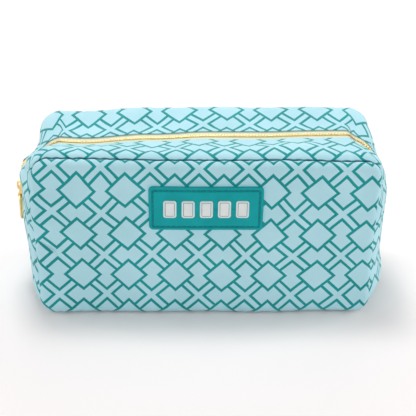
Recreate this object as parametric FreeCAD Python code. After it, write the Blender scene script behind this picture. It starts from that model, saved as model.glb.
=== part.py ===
import FreeCAD, Part
import math
import os

from FreeCAD import Vector

# A soft zipped bag for game tiles: two padded panels, a padded band round them, and a zip over the top.
# X runs along the bag, -Y is the front, +Z is up. The origin is the centre of the base. Millimetres.

# Overall size, seam to seam
PANEL_WIDTH = 240.0
PANEL_HEIGHT = 122.0
PANEL_CORNER_RADIUS = 12.0
SEAM_DEPTH = 90.0

# How far the soft walls swell past their seams
PANEL_CROWN = 3.5
PANEL_CROWN_SIDE_POWER = 10
PANEL_CROWN_HEIGHT_POWER = 4
SURFACE_MARGIN = 4.0
SIDE_BULGE = 13.5
LOW_SIDE_BULGE = 11.0
SHOULDER_DROP = 25.0
TOP_RISE = 0.6
TOP_ROLL = 2.0

# Wall layers, from the outside in
OUTER_THICKNESS = 0.9
FOAM_THICKNESS = 2.4
LINING_THICKNESS = 0.5
LAYER_GAP = 0.12

# Seam binding, a folded tape that stands inside along each panel seam
BINDING_WIDTH = 7.0
BINDING_THICKNESS = 1.2
BINDING_CLEARANCE = 0.45
BINDING_STANDOFF = 0.2

# Zip tape and the strips it is sewn under
CROSS_SEAM_DROP = 50.0
CROSS_SEAM_GAP = 0.3
FLAP_END_GAP = 0.2
FLAP_EDGE_MARGIN = 0.03
TAPE_THICKNESS = 0.8
TAPE_COVER = 6.8
TAPE_FOAM_GAP = 0.4
LINING_CUTBACK = 1.8
TAPE_EDGE_GAP = 0.15

# Zip teeth
TOOTH_PITCH = 2.2
TOOTH_LENGTH = 0.85
TOOTH_HEIGHT = 2.6
TOOTH_OVERLAP = 0.6
TOOTH_HEAD_ROOT = 1.2
TOOTH_REACH = 3.3
TAPE_SLOT_CLEARANCE = 0.12

# Zip stops
STOP_LENGTH = 2.4
STOP_INNER = 0.9
BOTTOM_STOP_LENGTH = 3.2
STOP_SEAM_GAP = 0.75
STOP_SLIDER_GAP = 0.4
STOP_TOOTH_GAP = 0.5

# Slider
SLIDER_LENGTH = 10.6
SLIDER_WIDTH = 9.6
SLIDER_SHOULDER = 1.3
SLIDER_PLATE = 1.0
SLIDER_TOOTH_CLEARANCE = 0.3
SLIDER_TAPE_CLEARANCE = 0.55
SLIDER_FLANGE = 0.8
SLIDER_STRIP_CLEARANCE = 0.4
SLIDER_POST_WIDTH = 2.2
SLIDER_POST_LENGTH = 3.6
SLIDER_POST_INSET = 1.3
SLIDER_TRAVEL_MARGIN = 0.7

# Bridge on the slider, which carries the pull
BRIDGE_SPAN = 6.4
BRIDGE_WIDTH = 2.4
BRIDGE_STOCK = 1.0
BRIDGE_WINDOW = 1.9

# Pull link
LINK_BAR = 1.2
LINK_SIDE_BAR = 1.0
LINK_CLEARANCE = 0.4
LINK_LENGTH = 6.9
LINK_NECK = 1.6
EYE_RADIUS = 2.0
EYE_BORE = 1.15
EYE_WIDTH = 1.8

# Oval pull ring
RING_LENGTH = 20.5
RING_WIDTH = 9.8
RING_STOCK = 1.7

# Label patch on the front, its sunken groove, its stitches and its plain motif
PATCH_WIDTH = 80.0
PATCH_HEIGHT = 33.0
PATCH_DROP = 35.5
PATCH_THICKNESS = 2.0
PATCH_CORNER_RADIUS = 3.0
PATCH_SEAT_GAP = 0.05
GROOVE_INSET = 1.9
GROOVE_WIDTH = 1.4
GROOVE_DEPTH = 0.7
STITCH_LENGTH = 2.6
STITCH_PITCH = 3.7
STITCH_WIDTH = 0.6
STITCH_PROUD = 0.15
MOTIF_COUNT = 5
MOTIF_WIDTH = 9.0
MOTIF_HEIGHT = 13.0
MOTIF_PITCH = 12.5
MOTIF_CORNER_RADIUS = 1.8
MOTIF_PROUD = 0.8

# Sizes that follow from those above
HALF_WIDTH = PANEL_WIDTH / 2
HALF_DEPTH = SEAM_DEPTH / 2
CORNER_X = HALF_WIDTH - PANEL_CORNER_RADIUS
CORNER_TOP_Z = PANEL_HEIGHT - PANEL_CORNER_RADIUS
FOAM_TOP = OUTER_THICKNESS + LAYER_GAP
LINING_TOP = FOAM_TOP + FOAM_THICKNESS + LAYER_GAP
WALL = LINING_TOP + LINING_THICKNESS
BAND_OUTER_END = HALF_DEPTH - FOAM_TOP
BAND_FOAM_END = HALF_DEPTH - LINING_TOP
BAND_LINING_END = HALF_DEPTH - WALL - LAYER_GAP
ZIP_SLOT = SLIDER_WIDTH / 2 + SLIDER_STRIP_CLEARANCE
TAPE_OUTER = ZIP_SLOT + TAPE_COVER
TAPE_INNER = TOOTH_HEAD_ROOT + TAPE_EDGE_GAP
TAPE_TOP = FOAM_TOP
TAPE_MIDDLE = TAPE_TOP + TAPE_THICKNESS / 2
FOAM_INNER = TAPE_OUTER + TAPE_FOAM_GAP
LINING_INNER = ZIP_SLOT + LINING_CUTBACK
CROSS_SEAM_Z = PANEL_HEIGHT - CROSS_SEAM_DROP
SHOULDER_Z = PANEL_HEIGHT - SHOULDER_DROP
SHOULDER_RUN = CORNER_TOP_Z - SHOULDER_Z
CORNER_RUN = PANEL_CORNER_RADIUS * math.pi / 2
CLOSING_STOP_Z = CROSS_SEAM_Z + CROSS_SEAM_GAP / 2 + STOP_SEAM_GAP + STOP_LENGTH / 2
SLIDER_Z = CLOSING_STOP_Z + STOP_LENGTH / 2 + STOP_SLIDER_GAP + SLIDER_LENGTH / 2
FRONT_TEETH = int(2 * CORNER_X / TOOTH_PITCH)
LAST_TOOTH_X = (FRONT_TEETH - 1) / 2 * TOOTH_PITCH
FLAP_HALF_LENGTH = LAST_TOOTH_X + TOOTH_LENGTH / 2 + FLAP_EDGE_MARGIN
CHANNEL = TOOTH_HEIGHT / 2 + SLIDER_TOOTH_CLEARANCE
SLIDER_FACE = CHANNEL + SLIDER_PLATE
SLIDER_X = -(HALF_WIDTH + SIDE_BULGE - TAPE_MIDDLE)
# Makes share * share * (1 - share) reach 1 at its highest.
ROLL_SHAPE = 27 / 4
ORIGIN = Vector(0, 0, 0)
ALONG_X = Vector(1, 0, 0)
ALONG_Y = Vector(0, 1, 0)


def export(name, solids):
    shape = solids[0] if len(solids) == 1 else Part.makeCompound(solids)
    shape.exportStep("parts/" + name + ".step")
    volume = sum(solid.Volume for solid in solids)
    print(name, len(solids), "solids", round(volume, 2), "mm3", shape.isValid())


def mirrored_left_right(solid):
    return solid.mirror(ORIGIN, ALONG_X)


def mirrored_front_back(solid):
    return solid.mirror(ORIGIN, ALONG_Y)


def eased(share):
    # Rises from 0 to 1 with no slope at either end.
    return share * share * (3 - 2 * share)


def rounded_outline(half_width, half_height, radius, centre_z, y):
    # A rounded rectangle in the plane at y, facing the front.
    corners = ((1, 1, 0), (-1, 1, 90), (-1, -1, 180), (1, -1, 270))
    arcs = []
    for side, level, start in corners:
        centre = Vector(side * (half_width - radius), y, centre_z + level * (half_height - radius))
        points = []
        for turn in (0, 45, 90):
            angle = math.radians(start + turn)
            points.append(centre + Vector(radius * math.cos(angle), 0, radius * math.sin(angle)))
        arcs.append(points)
    edges = []
    for index, points in enumerate(arcs):
        following = arcs[(index + 1) % len(arcs)]
        edges.append(Part.Arc(*points).toShape())
        edges.append(Part.LineSegment(points[2], following[0]).toShape())
    return Part.Wire(edges)


def panel_prism(inset, y_start, y_end):
    outline = rounded_outline(
        HALF_WIDTH - inset,
        PANEL_HEIGHT / 2 - inset,
        PANEL_CORNER_RADIUS - inset,
        PANEL_HEIGHT / 2,
        y_start,
    )
    return Part.Face(outline).extrude(Vector(0, y_end - y_start, 0))


def panel_swell(x, z):
    # The crown of a padded panel: flat along its length, falling away at its sides, top and base.
    across = 1 - abs(x / HALF_WIDTH) ** PANEL_CROWN_SIDE_POWER
    upward = 1 - (2 * z / PANEL_HEIGHT - 1) ** PANEL_CROWN_HEIGHT_POWER
    return PANEL_CROWN * across * upward


def front_surface(depth):
    # The face of the front panel, moved back by depth, a little larger than the panel all round.
    columns = 41
    rows = 13
    column_step = (PANEL_WIDTH + 2 * SURFACE_MARGIN) / (columns - 1)
    row_step = (PANEL_HEIGHT + 2 * SURFACE_MARGIN) / (rows - 1)
    grid = []
    for column in range(columns):
        x = -HALF_WIDTH - SURFACE_MARGIN + column * column_step
        line = []
        for row in range(rows):
            z = -SURFACE_MARGIN + row * row_step
            line.append(Vector(x, -HALF_DEPTH - panel_swell(x, z) + depth, z))
        grid.append(line)
    surface = Part.BSplineSurface()
    surface.interpolate(grid)
    return surface.toShape()


def front_sheet(depth, thickness):
    return front_surface(depth).extrude(Vector(0, thickness, 0))


def panel_layer(depth, thickness):
    reach = 2 * PANEL_CROWN
    prism = panel_prism(depth, -HALF_DEPTH - reach, -HALF_DEPTH + WALL + reach)
    return front_sheet(depth, thickness).common(prism).Solids[0]


def make_panels():
    layers = (
        ("panel", 0.0, OUTER_THICKNESS),
        ("foam", FOAM_TOP, FOAM_THICKNESS),
        ("lining", LINING_TOP, LINING_THICKNESS),
    )
    for name, depth, thickness in layers:
        layer = panel_layer(depth, thickness)
        export("front_" + name, [layer])
        export("back_" + name, [mirrored_front_back(layer)])


def make_bindings():
    outer = WALL + BINDING_CLEARANCE
    y_start = -HALF_DEPTH + WALL + BINDING_STANDOFF
    y_end = y_start + BINDING_THICKNESS
    frame = panel_prism(outer, y_start, y_end)
    inner = rounded_outline(
        HALF_WIDTH - outer - BINDING_WIDTH,
        PANEL_HEIGHT / 2 - outer - BINDING_WIDTH,
        PANEL_CORNER_RADIUS / 2,
        PANEL_HEIGHT / 2,
        y_start - 1,
    )
    binding = frame.cut(Part.Face(inner).extrude(Vector(0, BINDING_THICKNESS + 2, 0))).Solids[0]
    export("front_seam_binding", [binding])
    export("back_seam_binding", [mirrored_front_back(binding)])


# The band between the panels is drawn on stations round its path. A station holds a point on the seam
# line, the way out of the bag there, the rise of the fabric in its middle, and its rolls beside the zip.
def side_station(z):
    if z > SHOULDER_Z:
        rise, roll = shoulder(z - SHOULDER_Z)
        return Vector(-HALF_WIDTH, 0, z), Vector(-1, 0, 0), Vector(-rise, 0, 0), roll
    share = (z - PANEL_CORNER_RADIUS) / (CROSS_SEAM_Z - PANEL_CORNER_RADIUS)
    swell = math.sin(math.pi / 2 * min(max(share, 0.0), 1.0))
    bulge = LOW_SIDE_BULGE + (SIDE_BULGE - LOW_SIDE_BULGE) * swell
    return Vector(-HALF_WIDTH, 0, z), Vector(-1, 0, 0), Vector(-bulge, 0, 0), 0.0


def shoulder(passed):
    # The rise and roll a given length of seam line past the shoulder, where the side starts to draw in.
    share = eased(passed / (SHOULDER_RUN + CORNER_RUN))
    return SIDE_BULGE + (TOP_RISE - SIDE_BULGE) * share, TOP_ROLL * share


def top_corner_station(degrees):
    # 0 is where the corner meets the side, 90 where it meets the top.
    angle = math.radians(degrees)
    outward = Vector(-math.cos(angle), 0, math.sin(angle))
    rise, roll = shoulder(SHOULDER_RUN + PANEL_CORNER_RADIUS * angle)
    centre = Vector(-CORNER_X, 0, CORNER_TOP_Z)
    return centre + outward * PANEL_CORNER_RADIUS, outward, outward * rise, roll


def top_station(x):
    return Vector(x, 0, PANEL_HEIGHT), Vector(0, 0, 1), Vector(0, 0, TOP_RISE), TOP_ROLL


def base_corner_station(degrees):
    # 0 is where the corner meets the side, 90 where it meets the flat base. The bulge is level here,
    # so that nothing hangs below the base.
    angle = math.radians(degrees)
    outward = Vector(-math.cos(angle), 0, -math.sin(angle))
    bulge = LOW_SIDE_BULGE * (1 - eased(degrees / 90))
    centre = Vector(-CORNER_X, 0, PANEL_CORNER_RADIUS)
    return centre + outward * PANEL_CORNER_RADIUS, outward, Vector(-bulge, 0, 0), 0.0


def band_point(station, y, depth):
    seam, outward, rise, roll = station
    height = -depth
    across = (abs(y) - ZIP_SLOT) / (BAND_OUTER_END - ZIP_SLOT)
    if across > 0:
        # The roll starts level beside the zip and is highest two thirds of the way to the seam.
        height += roll * ROLL_SHAPE * across * across * (1 - across)
    return seam + rise * (1 - (y / BAND_OUTER_END) ** 2) + outward * height + Vector(0, y, 0)


def band_surface(stations, start, end, depth):
    # The skin between two marks across the band, at one depth, smooth along the stations.
    columns = 9
    grid = []
    for station in stations:
        line = []
        for column in range(columns):
            y = start + (end - start) * column / (columns - 1)
            line.append(band_point(station, y, depth))
        grid.append(line)
    surface = Part.BSplineSurface()
    surface.interpolate(grid)
    return surface


def planar_face(upper, lower):
    # A flat face between two curves that lie one above the other.
    edges = [
        upper.toShape(),
        Part.LineSegment(upper.EndPoint, lower.EndPoint).toShape(),
        lower.toShape(),
        Part.LineSegment(lower.StartPoint, upper.StartPoint).toShape(),
    ]
    return Part.Face(Part.Wire(edges))


def band_slab(stations, start, end, top, thickness):
    # A layer of the band as a solid: its two skins and the flat faces at its ends and edges.
    upper = band_surface(stations, start, end, top)
    lower = band_surface(stations, start, end, top + thickness)
    first_u, last_u, first_v, last_v = upper.bounds()
    faces = [upper.toShape(), lower.toShape()]
    for along in (first_u, last_u):
        faces.append(planar_face(upper.uIso(along), lower.uIso(along)))
    for across in (first_v, last_v):
        faces.append(planar_face(upper.vIso(across), lower.vIso(across)))
    shell = Part.makeCompound(faces)
    shell.sewShape()
    solid = Part.Solid(shell.Shells[0])
    if solid.Volume < 0:
        solid.reverse()
    return solid


def strip_end_stations():
    # From the cross seam, up the left side and round the top corner to the end of the flap.
    low = CROSS_SEAM_Z + CROSS_SEAM_GAP / 2
    stations = []
    steps = 8
    for step in range(steps):
        stations.append(side_station(low + (SHOULDER_Z - low) * step / steps))
    steps = 5
    for step in range(steps + 1):
        stations.append(side_station(SHOULDER_Z + SHOULDER_RUN * step / steps))
    for degrees in range(10, 91, 10):
        stations.append(top_corner_station(degrees))
    stations.append(top_station(-FLAP_HALF_LENGTH - FLAP_END_GAP))
    return stations


def gusset_stations():
    # From the cross seam down the left side and round the base corner to the flat base.
    high = CROSS_SEAM_Z - CROSS_SEAM_GAP / 2
    stations = []
    steps = 12
    for step in range(steps + 1):
        stations.append(side_station(high + (PANEL_CORNER_RADIUS - high) * step / steps))
    for degrees in range(10, 91, 10):
        stations.append(base_corner_station(degrees))
    return stations


BAND_LAYERS = (
    ("", BAND_OUTER_END, ZIP_SLOT, 0.0, OUTER_THICKNESS),
    ("_foam", BAND_FOAM_END, FOAM_INNER, FOAM_TOP, FOAM_THICKNESS),
    ("_lining", BAND_LINING_END, LINING_INNER, LINING_TOP, LINING_THICKNESS),
)


def make_gusset():
    for suffix, end, _, top, thickness in BAND_LAYERS:
        left = band_slab(gusset_stations(), -end, end, top, thickness)
        corner = Vector(-CORNER_X, -end, top)
        base = Part.makeBox(2 * CORNER_X, 2 * end, thickness, corner)
        whole = left.fuse([base, mirrored_left_right(left)])
        export("gusset" + suffix, whole.Solids)


def strip_pieces():
    # Name, near and far edge, depth of its top and thickness of each strip layer and the tape.
    pieces = []
    for suffix, end, inner, top, thickness in BAND_LAYERS:
        pieces.append(("strip", suffix, -end, -inner, top, thickness))
    pieces.append(("tape", "", -TAPE_OUTER, -TAPE_INNER, TAPE_TOP, TAPE_THICKNESS))
    return pieces


def make_strip_ends():
    stations = strip_end_stations()
    for kind, suffix, start, end, top, thickness in strip_pieces():
        left = band_slab(stations, start, end, top, thickness)
        right = mirrored_left_right(left)
        name = kind + "_end" + suffix
        export("front_left_" + name, [left])
        export("front_right_" + name, [right])
        export("back_left_" + name, [mirrored_front_back(left)])
        export("back_right_" + name, [mirrored_front_back(right)])


def make_flaps():
    stations = [top_station(FLAP_HALF_LENGTH * share) for share in (-1.0, -0.5, 0.0, 0.5, 1.0)]
    for kind, suffix, start, end, top, thickness in strip_pieces():
        strip = band_slab(stations, start, end, top, thickness)
        name = kind + suffix
        export("front_flap_" + name, [strip])
        export("back_flap_" + name, [mirrored_front_back(strip)])


def clamp_profile(reach, root, tip, height):
    # Two legs round the tape and a head past its edge, as (distance from the zip line, height).
    half = height / 2
    slot = TAPE_THICKNESS / 2 + TAPE_SLOT_CLEARANCE
    return [
        (-reach, half), (tip, half), (tip, -half), (-reach, -half),
        (-reach, -slot), (-root, -slot), (-root, slot), (-reach, slot),
    ]


def place_profile(profile, row, centre, forward, outward, length):
    # The profile is drawn square to the zip and pushed along it, for the front row (1) or back row (-1).
    start = centre - forward * (length / 2)
    points = [start + Vector(0, row * y, 0) + outward * n for y, n in profile]
    return Part.Face(Part.makePolygon(points + points[:1])).extrude(forward * length)


TOOTH_PROFILE = clamp_profile(TOOTH_REACH, TOOTH_HEAD_ROOT, TOOTH_OVERLAP, TOOTH_HEIGHT)


def make_flap_teeth():
    height = PANEL_HEIGHT + TOP_RISE - TAPE_MIDDLE
    for name, row, count in (("front", 1, FRONT_TEETH), ("back", -1, FRONT_TEETH - 1)):
        teeth = []
        for index in range(count):
            x = (index - (count - 1) / 2) * TOOTH_PITCH
            centre = Vector(x, 0, height)
            teeth.append(place_profile(TOOTH_PROFILE, row, centre, ALONG_X, Vector(0, 0, 1), TOOTH_LENGTH))
        export(name + "_flap_teeth", teeth)


def zip_path_points():
    # The middle of the tape from the last flap tooth, round the left corner and down to the cross seam.
    stations = [top_station(-LAST_TOOTH_X)]
    for step in range(91):
        stations.append(top_corner_station(90 - step))
    steps = 60
    for step in range(1, steps + 1):
        stations.append(side_station(CORNER_TOP_Z - SHOULDER_RUN * step / steps))
    stations.append(side_station(CROSS_SEAM_Z))
    return [band_point(station, 0.0, TAPE_MIDDLE) for station in stations]


def zip_places(spacing, lowest_z):
    # Evenly spaced places along the side zip, with the way along it and the way out of the bag.
    points = zip_path_points()
    places = []
    wanted = spacing
    passed = 0.0
    for start, end in zip(points, points[1:]):
        length = (end - start).Length
        forward = (end - start).normalize()
        while wanted <= passed + length:
            centre = start + forward * (wanted - passed)
            if centre.z < lowest_z:
                return places
            places.append((centre, forward, Vector(forward.z, 0, -forward.x)))
            wanted += spacing
        passed += length
    return places


def side_teeth(lowest_z):
    teeth = []
    places = zip_places(TOOTH_PITCH / 2, lowest_z + TOOTH_LENGTH / 2)
    for index, (centre, forward, outward) in enumerate(places):
        row = 1 if index % 2 else -1
        teeth.append(place_profile(TOOTH_PROFILE, row, centre, forward, outward, TOOTH_LENGTH))
    return teeth


def make_side_teeth():
    post_top = SLIDER_Z - SLIDER_LENGTH / 2 + SLIDER_POST_INSET + SLIDER_POST_LENGTH
    stop_top = CROSS_SEAM_Z + CROSS_SEAM_GAP + BOTTOM_STOP_LENGTH
    export("left_side_teeth", side_teeth(post_top + STOP_TOOTH_GAP))
    right = [mirrored_left_right(tooth) for tooth in side_teeth(stop_top + STOP_TOOTH_GAP)]
    export("right_side_teeth", right)


def make_stops():
    down = Vector(0, 0, -1)
    left = Vector(-1, 0, 0)
    centre = Vector(SLIDER_X, 0, CLOSING_STOP_Z)
    profile = clamp_profile(TOOTH_REACH, TOOTH_HEAD_ROOT, -STOP_INNER, TOOTH_HEIGHT)
    stops = [place_profile(profile, row, centre, down, left, STOP_LENGTH) for row in (1, -1)]
    export("closing_stops", stops)
    half = TOOTH_HEIGHT / 2
    slot = TAPE_THICKNESS / 2 + TAPE_SLOT_CLEARANCE
    centre = Vector(SLIDER_X, 0, CROSS_SEAM_Z + CROSS_SEAM_GAP + BOTTOM_STOP_LENGTH / 2)
    box = [
        (-TOOTH_REACH, half), (TOOTH_REACH, half), (TOOTH_REACH, slot), (TOOTH_HEAD_ROOT, slot),
        (TOOTH_HEAD_ROOT, -slot), (TOOTH_REACH, -slot), (TOOTH_REACH, -half), (-TOOTH_REACH, -half),
        (-TOOTH_REACH, -slot), (-TOOTH_HEAD_ROOT, -slot), (-TOOTH_HEAD_ROOT, slot), (-TOOTH_REACH, slot),
    ]
    bottom_stop = place_profile(box, 1, centre, down, left, BOTTOM_STOP_LENGTH)
    export("opening_stop", [mirrored_left_right(bottom_stop)])


def slider_point(along, y, out):
    # A place on the slider: along is up the side of the bag, out is away from the middle of the tape.
    return Vector(SLIDER_X - out, y, SLIDER_Z + along)


def slider_plate(outline, low, high):
    points = [slider_point(along, y, low) for y, along in outline]
    return Part.Face(Part.makePolygon(points + points[:1])).extrude(Vector(low - high, 0, 0))


def slider_box(along_low, along_high, y_low, y_high, low, high):
    corner = slider_point(along_low, y_low, high)
    return Part.makeBox(high - low, y_high - y_low, along_high - along_low, corner)


def make_slider_body():
    half_length = SLIDER_LENGTH / 2
    half_width = SLIDER_WIDTH / 2
    waist = half_width - SLIDER_SHOULDER
    outline = [
        (-half_width + SLIDER_SHOULDER / 2, -half_length), (0.0, -half_length + SLIDER_SHOULDER / 2),
        (half_width - SLIDER_SHOULDER / 2, -half_length), (half_width, -half_length + SLIDER_SHOULDER),
        (half_width, half_length - 2 * SLIDER_SHOULDER), (waist, half_length),
        (-waist, half_length), (-half_width, half_length - 2 * SLIDER_SHOULDER),
        (-half_width, -half_length + SLIDER_SHOULDER),
    ]
    pieces = [
        slider_plate(outline, CHANNEL, SLIDER_FACE),
        slider_plate(outline, -SLIDER_FACE, -CHANNEL),
    ]
    slot = TAPE_THICKNESS / 2 + SLIDER_TAPE_CLEARANCE
    flange_low = -half_length + SLIDER_SHOULDER
    flange_high = half_length - 2 * SLIDER_SHOULDER
    for side in (-1, 1):
        edges = sorted((side * half_width, side * (half_width - SLIDER_FLANGE)))
        pieces.append(slider_box(flange_low, flange_high, edges[0], edges[1], slot, CHANNEL))
        pieces.append(slider_box(flange_low, flange_high, edges[0], edges[1], -CHANNEL, -slot))
    post_low = -half_length + SLIDER_POST_INSET
    half_post = SLIDER_POST_WIDTH / 2
    post = [
        (-half_post, post_low), (half_post, post_low),
        (half_post, post_low + SLIDER_POST_LENGTH / 2), (0.0, post_low + SLIDER_POST_LENGTH),
        (-half_post, post_low + SLIDER_POST_LENGTH / 2),
    ]
    pieces.append(slider_plate(post, -CHANNEL, CHANNEL))
    body = pieces[0].fuse(pieces[1:]).removeSplitter()
    export("slider_body", body.Solids)


BRIDGE_TOP = SLIDER_FACE + BRIDGE_WINDOW + BRIDGE_STOCK
PIVOT_OUT = SLIDER_FACE + BRIDGE_WINDOW / 2
PIVOT_ALONG = -BRIDGE_SPAN / 2 + BRIDGE_STOCK + LINK_BAR / 2 + (BRIDGE_WINDOW - LINK_BAR) / 2
EYE_ALONG = PIVOT_ALONG - LINK_LENGTH


def make_slider_bridge():
    half = BRIDGE_SPAN / 2
    slope = BRIDGE_STOCK
    profile = [
        (-half, SLIDER_FACE), (-half, BRIDGE_TOP - slope), (-half + slope, BRIDGE_TOP),
        (half - slope, BRIDGE_TOP), (half, BRIDGE_TOP - slope), (half, SLIDER_FACE),
        (half - BRIDGE_STOCK, SLIDER_FACE), (half - BRIDGE_STOCK, SLIDER_FACE + BRIDGE_WINDOW),
        (-half + BRIDGE_STOCK, SLIDER_FACE + BRIDGE_WINDOW), (-half + BRIDGE_STOCK, SLIDER_FACE),
    ]
    points = [slider_point(along, -BRIDGE_WIDTH / 2, out) for along, out in profile]
    bridge = Part.Face(Part.makePolygon(points + points[:1])).extrude(Vector(0, BRIDGE_WIDTH, 0))
    export("slider_bridge", [bridge])


def make_pull_link():
    inner = BRIDGE_WIDTH / 2 + LINK_CLEARANCE
    outer = inner + LINK_SIDE_BAR
    half_bar = LINK_BAR / 2
    half_side = LINK_SIDE_BAR / 2
    pivot = slider_point(PIVOT_ALONG, -outer, PIVOT_OUT)
    pieces = [Part.makeCylinder(half_bar, 2 * outer, pivot, ALONG_Y)]
    neck_top = EYE_ALONG + EYE_RADIUS / 2 + LINK_NECK
    neck_middle = neck_top - LINK_NECK / 2
    low = PIVOT_OUT - half_side
    high = PIVOT_OUT + half_side
    for y_low in (-outer, inner):
        pieces.append(slider_box(neck_middle, PIVOT_ALONG, y_low, y_low + LINK_SIDE_BAR, low, high))
    pieces.append(slider_box(neck_middle, neck_top, -outer, outer, low, high))
    half_eye = EYE_WIDTH / 2
    pieces.append(slider_box(EYE_ALONG, neck_middle, -half_eye, half_eye, low, high))
    eye = slider_point(EYE_ALONG, -half_eye, PIVOT_OUT)
    pieces.append(Part.makeCylinder(EYE_RADIUS, EYE_WIDTH, eye, ALONG_Y))
    bore = Part.makeCylinder(EYE_BORE, EYE_WIDTH, eye, ALONG_Y)
    link = pieces[0].fuse(pieces[1:]).removeSplitter().cut(bore)
    export("pull_link", link.Solids)


def make_pull_ring():
    stock = RING_STOCK / 2
    bend = RING_WIDTH / 2 - stock
    straight = RING_LENGTH - RING_WIDTH
    top_along = EYE_ALONG - bend
    pieces = []
    for along, turn in ((top_along, 0.0), (top_along - straight, 180.0)):
        half_ring = Part.makeTorus(bend, stock, ORIGIN, Vector(0, 0, 1), 0, 360, 180)
        half_ring.rotate(ORIGIN, ALONG_X, 90)
        half_ring.rotate(ORIGIN, Vector(0, 0, 1), 90)
        half_ring.rotate(ORIGIN, ALONG_X, turn)
        half_ring.translate(slider_point(along, 0.0, PIVOT_OUT))
        pieces.append(half_ring)
    for y in (-bend, bend):
        foot = slider_point(top_along - straight, y, PIVOT_OUT)
        pieces.append(Part.makeCylinder(stock, straight, foot, Vector(0, 0, 1)))
    ring = pieces[0].fuse(pieces[1:]).removeSplitter()
    export("pull_ring", ring.Solids)


PATCH_Z = PANEL_HEIGHT - PATCH_DROP


def patch_prism(inset, radius):
    outline = rounded_outline(
        PATCH_WIDTH / 2 - inset,
        PATCH_HEIGHT / 2 - inset,
        radius,
        PATCH_Z,
        -HALF_DEPTH - 3 * PANEL_CROWN,
    )
    return Part.Face(outline).extrude(Vector(0, 3 * PANEL_CROWN, 0))


def make_label_patch():
    outer = patch_prism(0.0, PATCH_CORNER_RADIUS)
    blank = front_sheet(-PATCH_THICKNESS, PATCH_THICKNESS - PATCH_SEAT_GAP).common(outer)
    ring = patch_prism(GROOVE_INSET, PATCH_CORNER_RADIUS / 2)
    ring = ring.cut(patch_prism(GROOVE_INSET + GROOVE_WIDTH, PATCH_CORNER_RADIUS / 4))
    cutter = front_sheet(-PATCH_THICKNESS - 1, GROOVE_DEPTH + 1).common(ring)
    export("label_patch", blank.cut(cutter).Solids)


def stitch_run(length):
    # Even stitches centred on one side of the groove.
    count = int(length / STITCH_PITCH)
    return [(index - (count - 1) / 2) * STITCH_PITCH for index in range(count)]


def make_label_stitches():
    middle = GROOVE_INSET + GROOVE_WIDTH / 2
    half_width = PATCH_WIDTH / 2 - middle
    half_height = PATCH_HEIGHT / 2 - middle
    y_front = -HALF_DEPTH - 3 * PANEL_CROWN
    reach = 3 * PANEL_CROWN
    boxes = []
    for x in stitch_run(2 * half_width - STITCH_PITCH):
        for side in (-1, 1):
            corner = Vector(x - STITCH_LENGTH / 2, y_front, PATCH_Z + side * half_height - STITCH_WIDTH / 2)
            boxes.append(Part.makeBox(STITCH_LENGTH, reach, STITCH_WIDTH, corner))
    for z in stitch_run(2 * half_height - STITCH_PITCH):
        for side in (-1, 1):
            corner = Vector(side * half_width - STITCH_WIDTH / 2, y_front, PATCH_Z + z - STITCH_LENGTH / 2)
            boxes.append(Part.makeBox(STITCH_WIDTH, reach, STITCH_LENGTH, corner))
    thickness = STITCH_WIDTH
    sheet = front_sheet(-PATCH_THICKNESS + GROOVE_DEPTH - STITCH_PROUD - thickness, thickness)
    export("label_stitches", [sheet.common(box).Solids[0] for box in boxes])


def make_label_motif():
    sheet = front_sheet(-PATCH_THICKNESS - MOTIF_PROUD, MOTIF_PROUD - PATCH_SEAT_GAP)
    tiles = []
    for index in range(MOTIF_COUNT):
        outline = rounded_outline(
            MOTIF_WIDTH / 2,
            MOTIF_HEIGHT / 2,
            MOTIF_CORNER_RADIUS,
            PATCH_Z,
            -HALF_DEPTH - 3 * PANEL_CROWN,
        )
        prism = Part.Face(outline).extrude(Vector(0, 3 * PANEL_CROWN, 0))
        prism.translate(Vector((index - (MOTIF_COUNT - 1) / 2) * MOTIF_PITCH, 0, 0))
        tiles.append(sheet.common(prism).Solids[0])
    export("label_motif", tiles)


os.makedirs("parts", exist_ok=True)
make_panels()
make_bindings()
make_gusset()
make_strip_ends()
make_flaps()
make_flap_teeth()
make_side_teeth()
make_stops()
make_slider_body()
make_slider_bridge()
make_pull_link()
make_pull_ring()
make_label_patch()
make_label_stitches()
make_label_motif()

print("front hinge line y, z", -BAND_OUTER_END, PANEL_HEIGHT)
print("slider x, z", SLIDER_X, SLIDER_Z)
print("slider travel", SHOULDER_Z - SLIDER_Z - SLIDER_LENGTH / 2 - SLIDER_TRAVEL_MARGIN)
print("link pivot", slider_point(PIVOT_ALONG, 0, PIVOT_OUT))
print("ring pivot", slider_point(EYE_ALONG, 0, PIVOT_OUT))
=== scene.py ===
import math

import bmesh
import bpy
import numpy as np
from mathutils import Matrix, Vector


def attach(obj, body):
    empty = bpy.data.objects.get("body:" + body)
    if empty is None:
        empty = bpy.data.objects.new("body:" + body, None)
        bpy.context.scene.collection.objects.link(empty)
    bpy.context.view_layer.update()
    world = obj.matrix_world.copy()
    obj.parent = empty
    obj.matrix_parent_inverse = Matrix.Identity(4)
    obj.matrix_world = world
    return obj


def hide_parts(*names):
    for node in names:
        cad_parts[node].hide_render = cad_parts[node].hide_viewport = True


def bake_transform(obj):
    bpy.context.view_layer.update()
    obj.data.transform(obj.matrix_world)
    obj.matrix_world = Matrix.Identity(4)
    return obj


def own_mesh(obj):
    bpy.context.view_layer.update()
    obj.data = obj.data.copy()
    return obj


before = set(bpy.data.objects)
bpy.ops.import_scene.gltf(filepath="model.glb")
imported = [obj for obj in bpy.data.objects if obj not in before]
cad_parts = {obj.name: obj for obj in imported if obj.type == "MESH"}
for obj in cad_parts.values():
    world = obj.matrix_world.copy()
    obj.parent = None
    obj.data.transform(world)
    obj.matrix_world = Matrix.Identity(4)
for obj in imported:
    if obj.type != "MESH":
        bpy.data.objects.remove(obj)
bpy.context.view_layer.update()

# A soft zipped bag for game tiles. X runs along it, -Y is its front, +Z is up, and everything is in metres.

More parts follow.
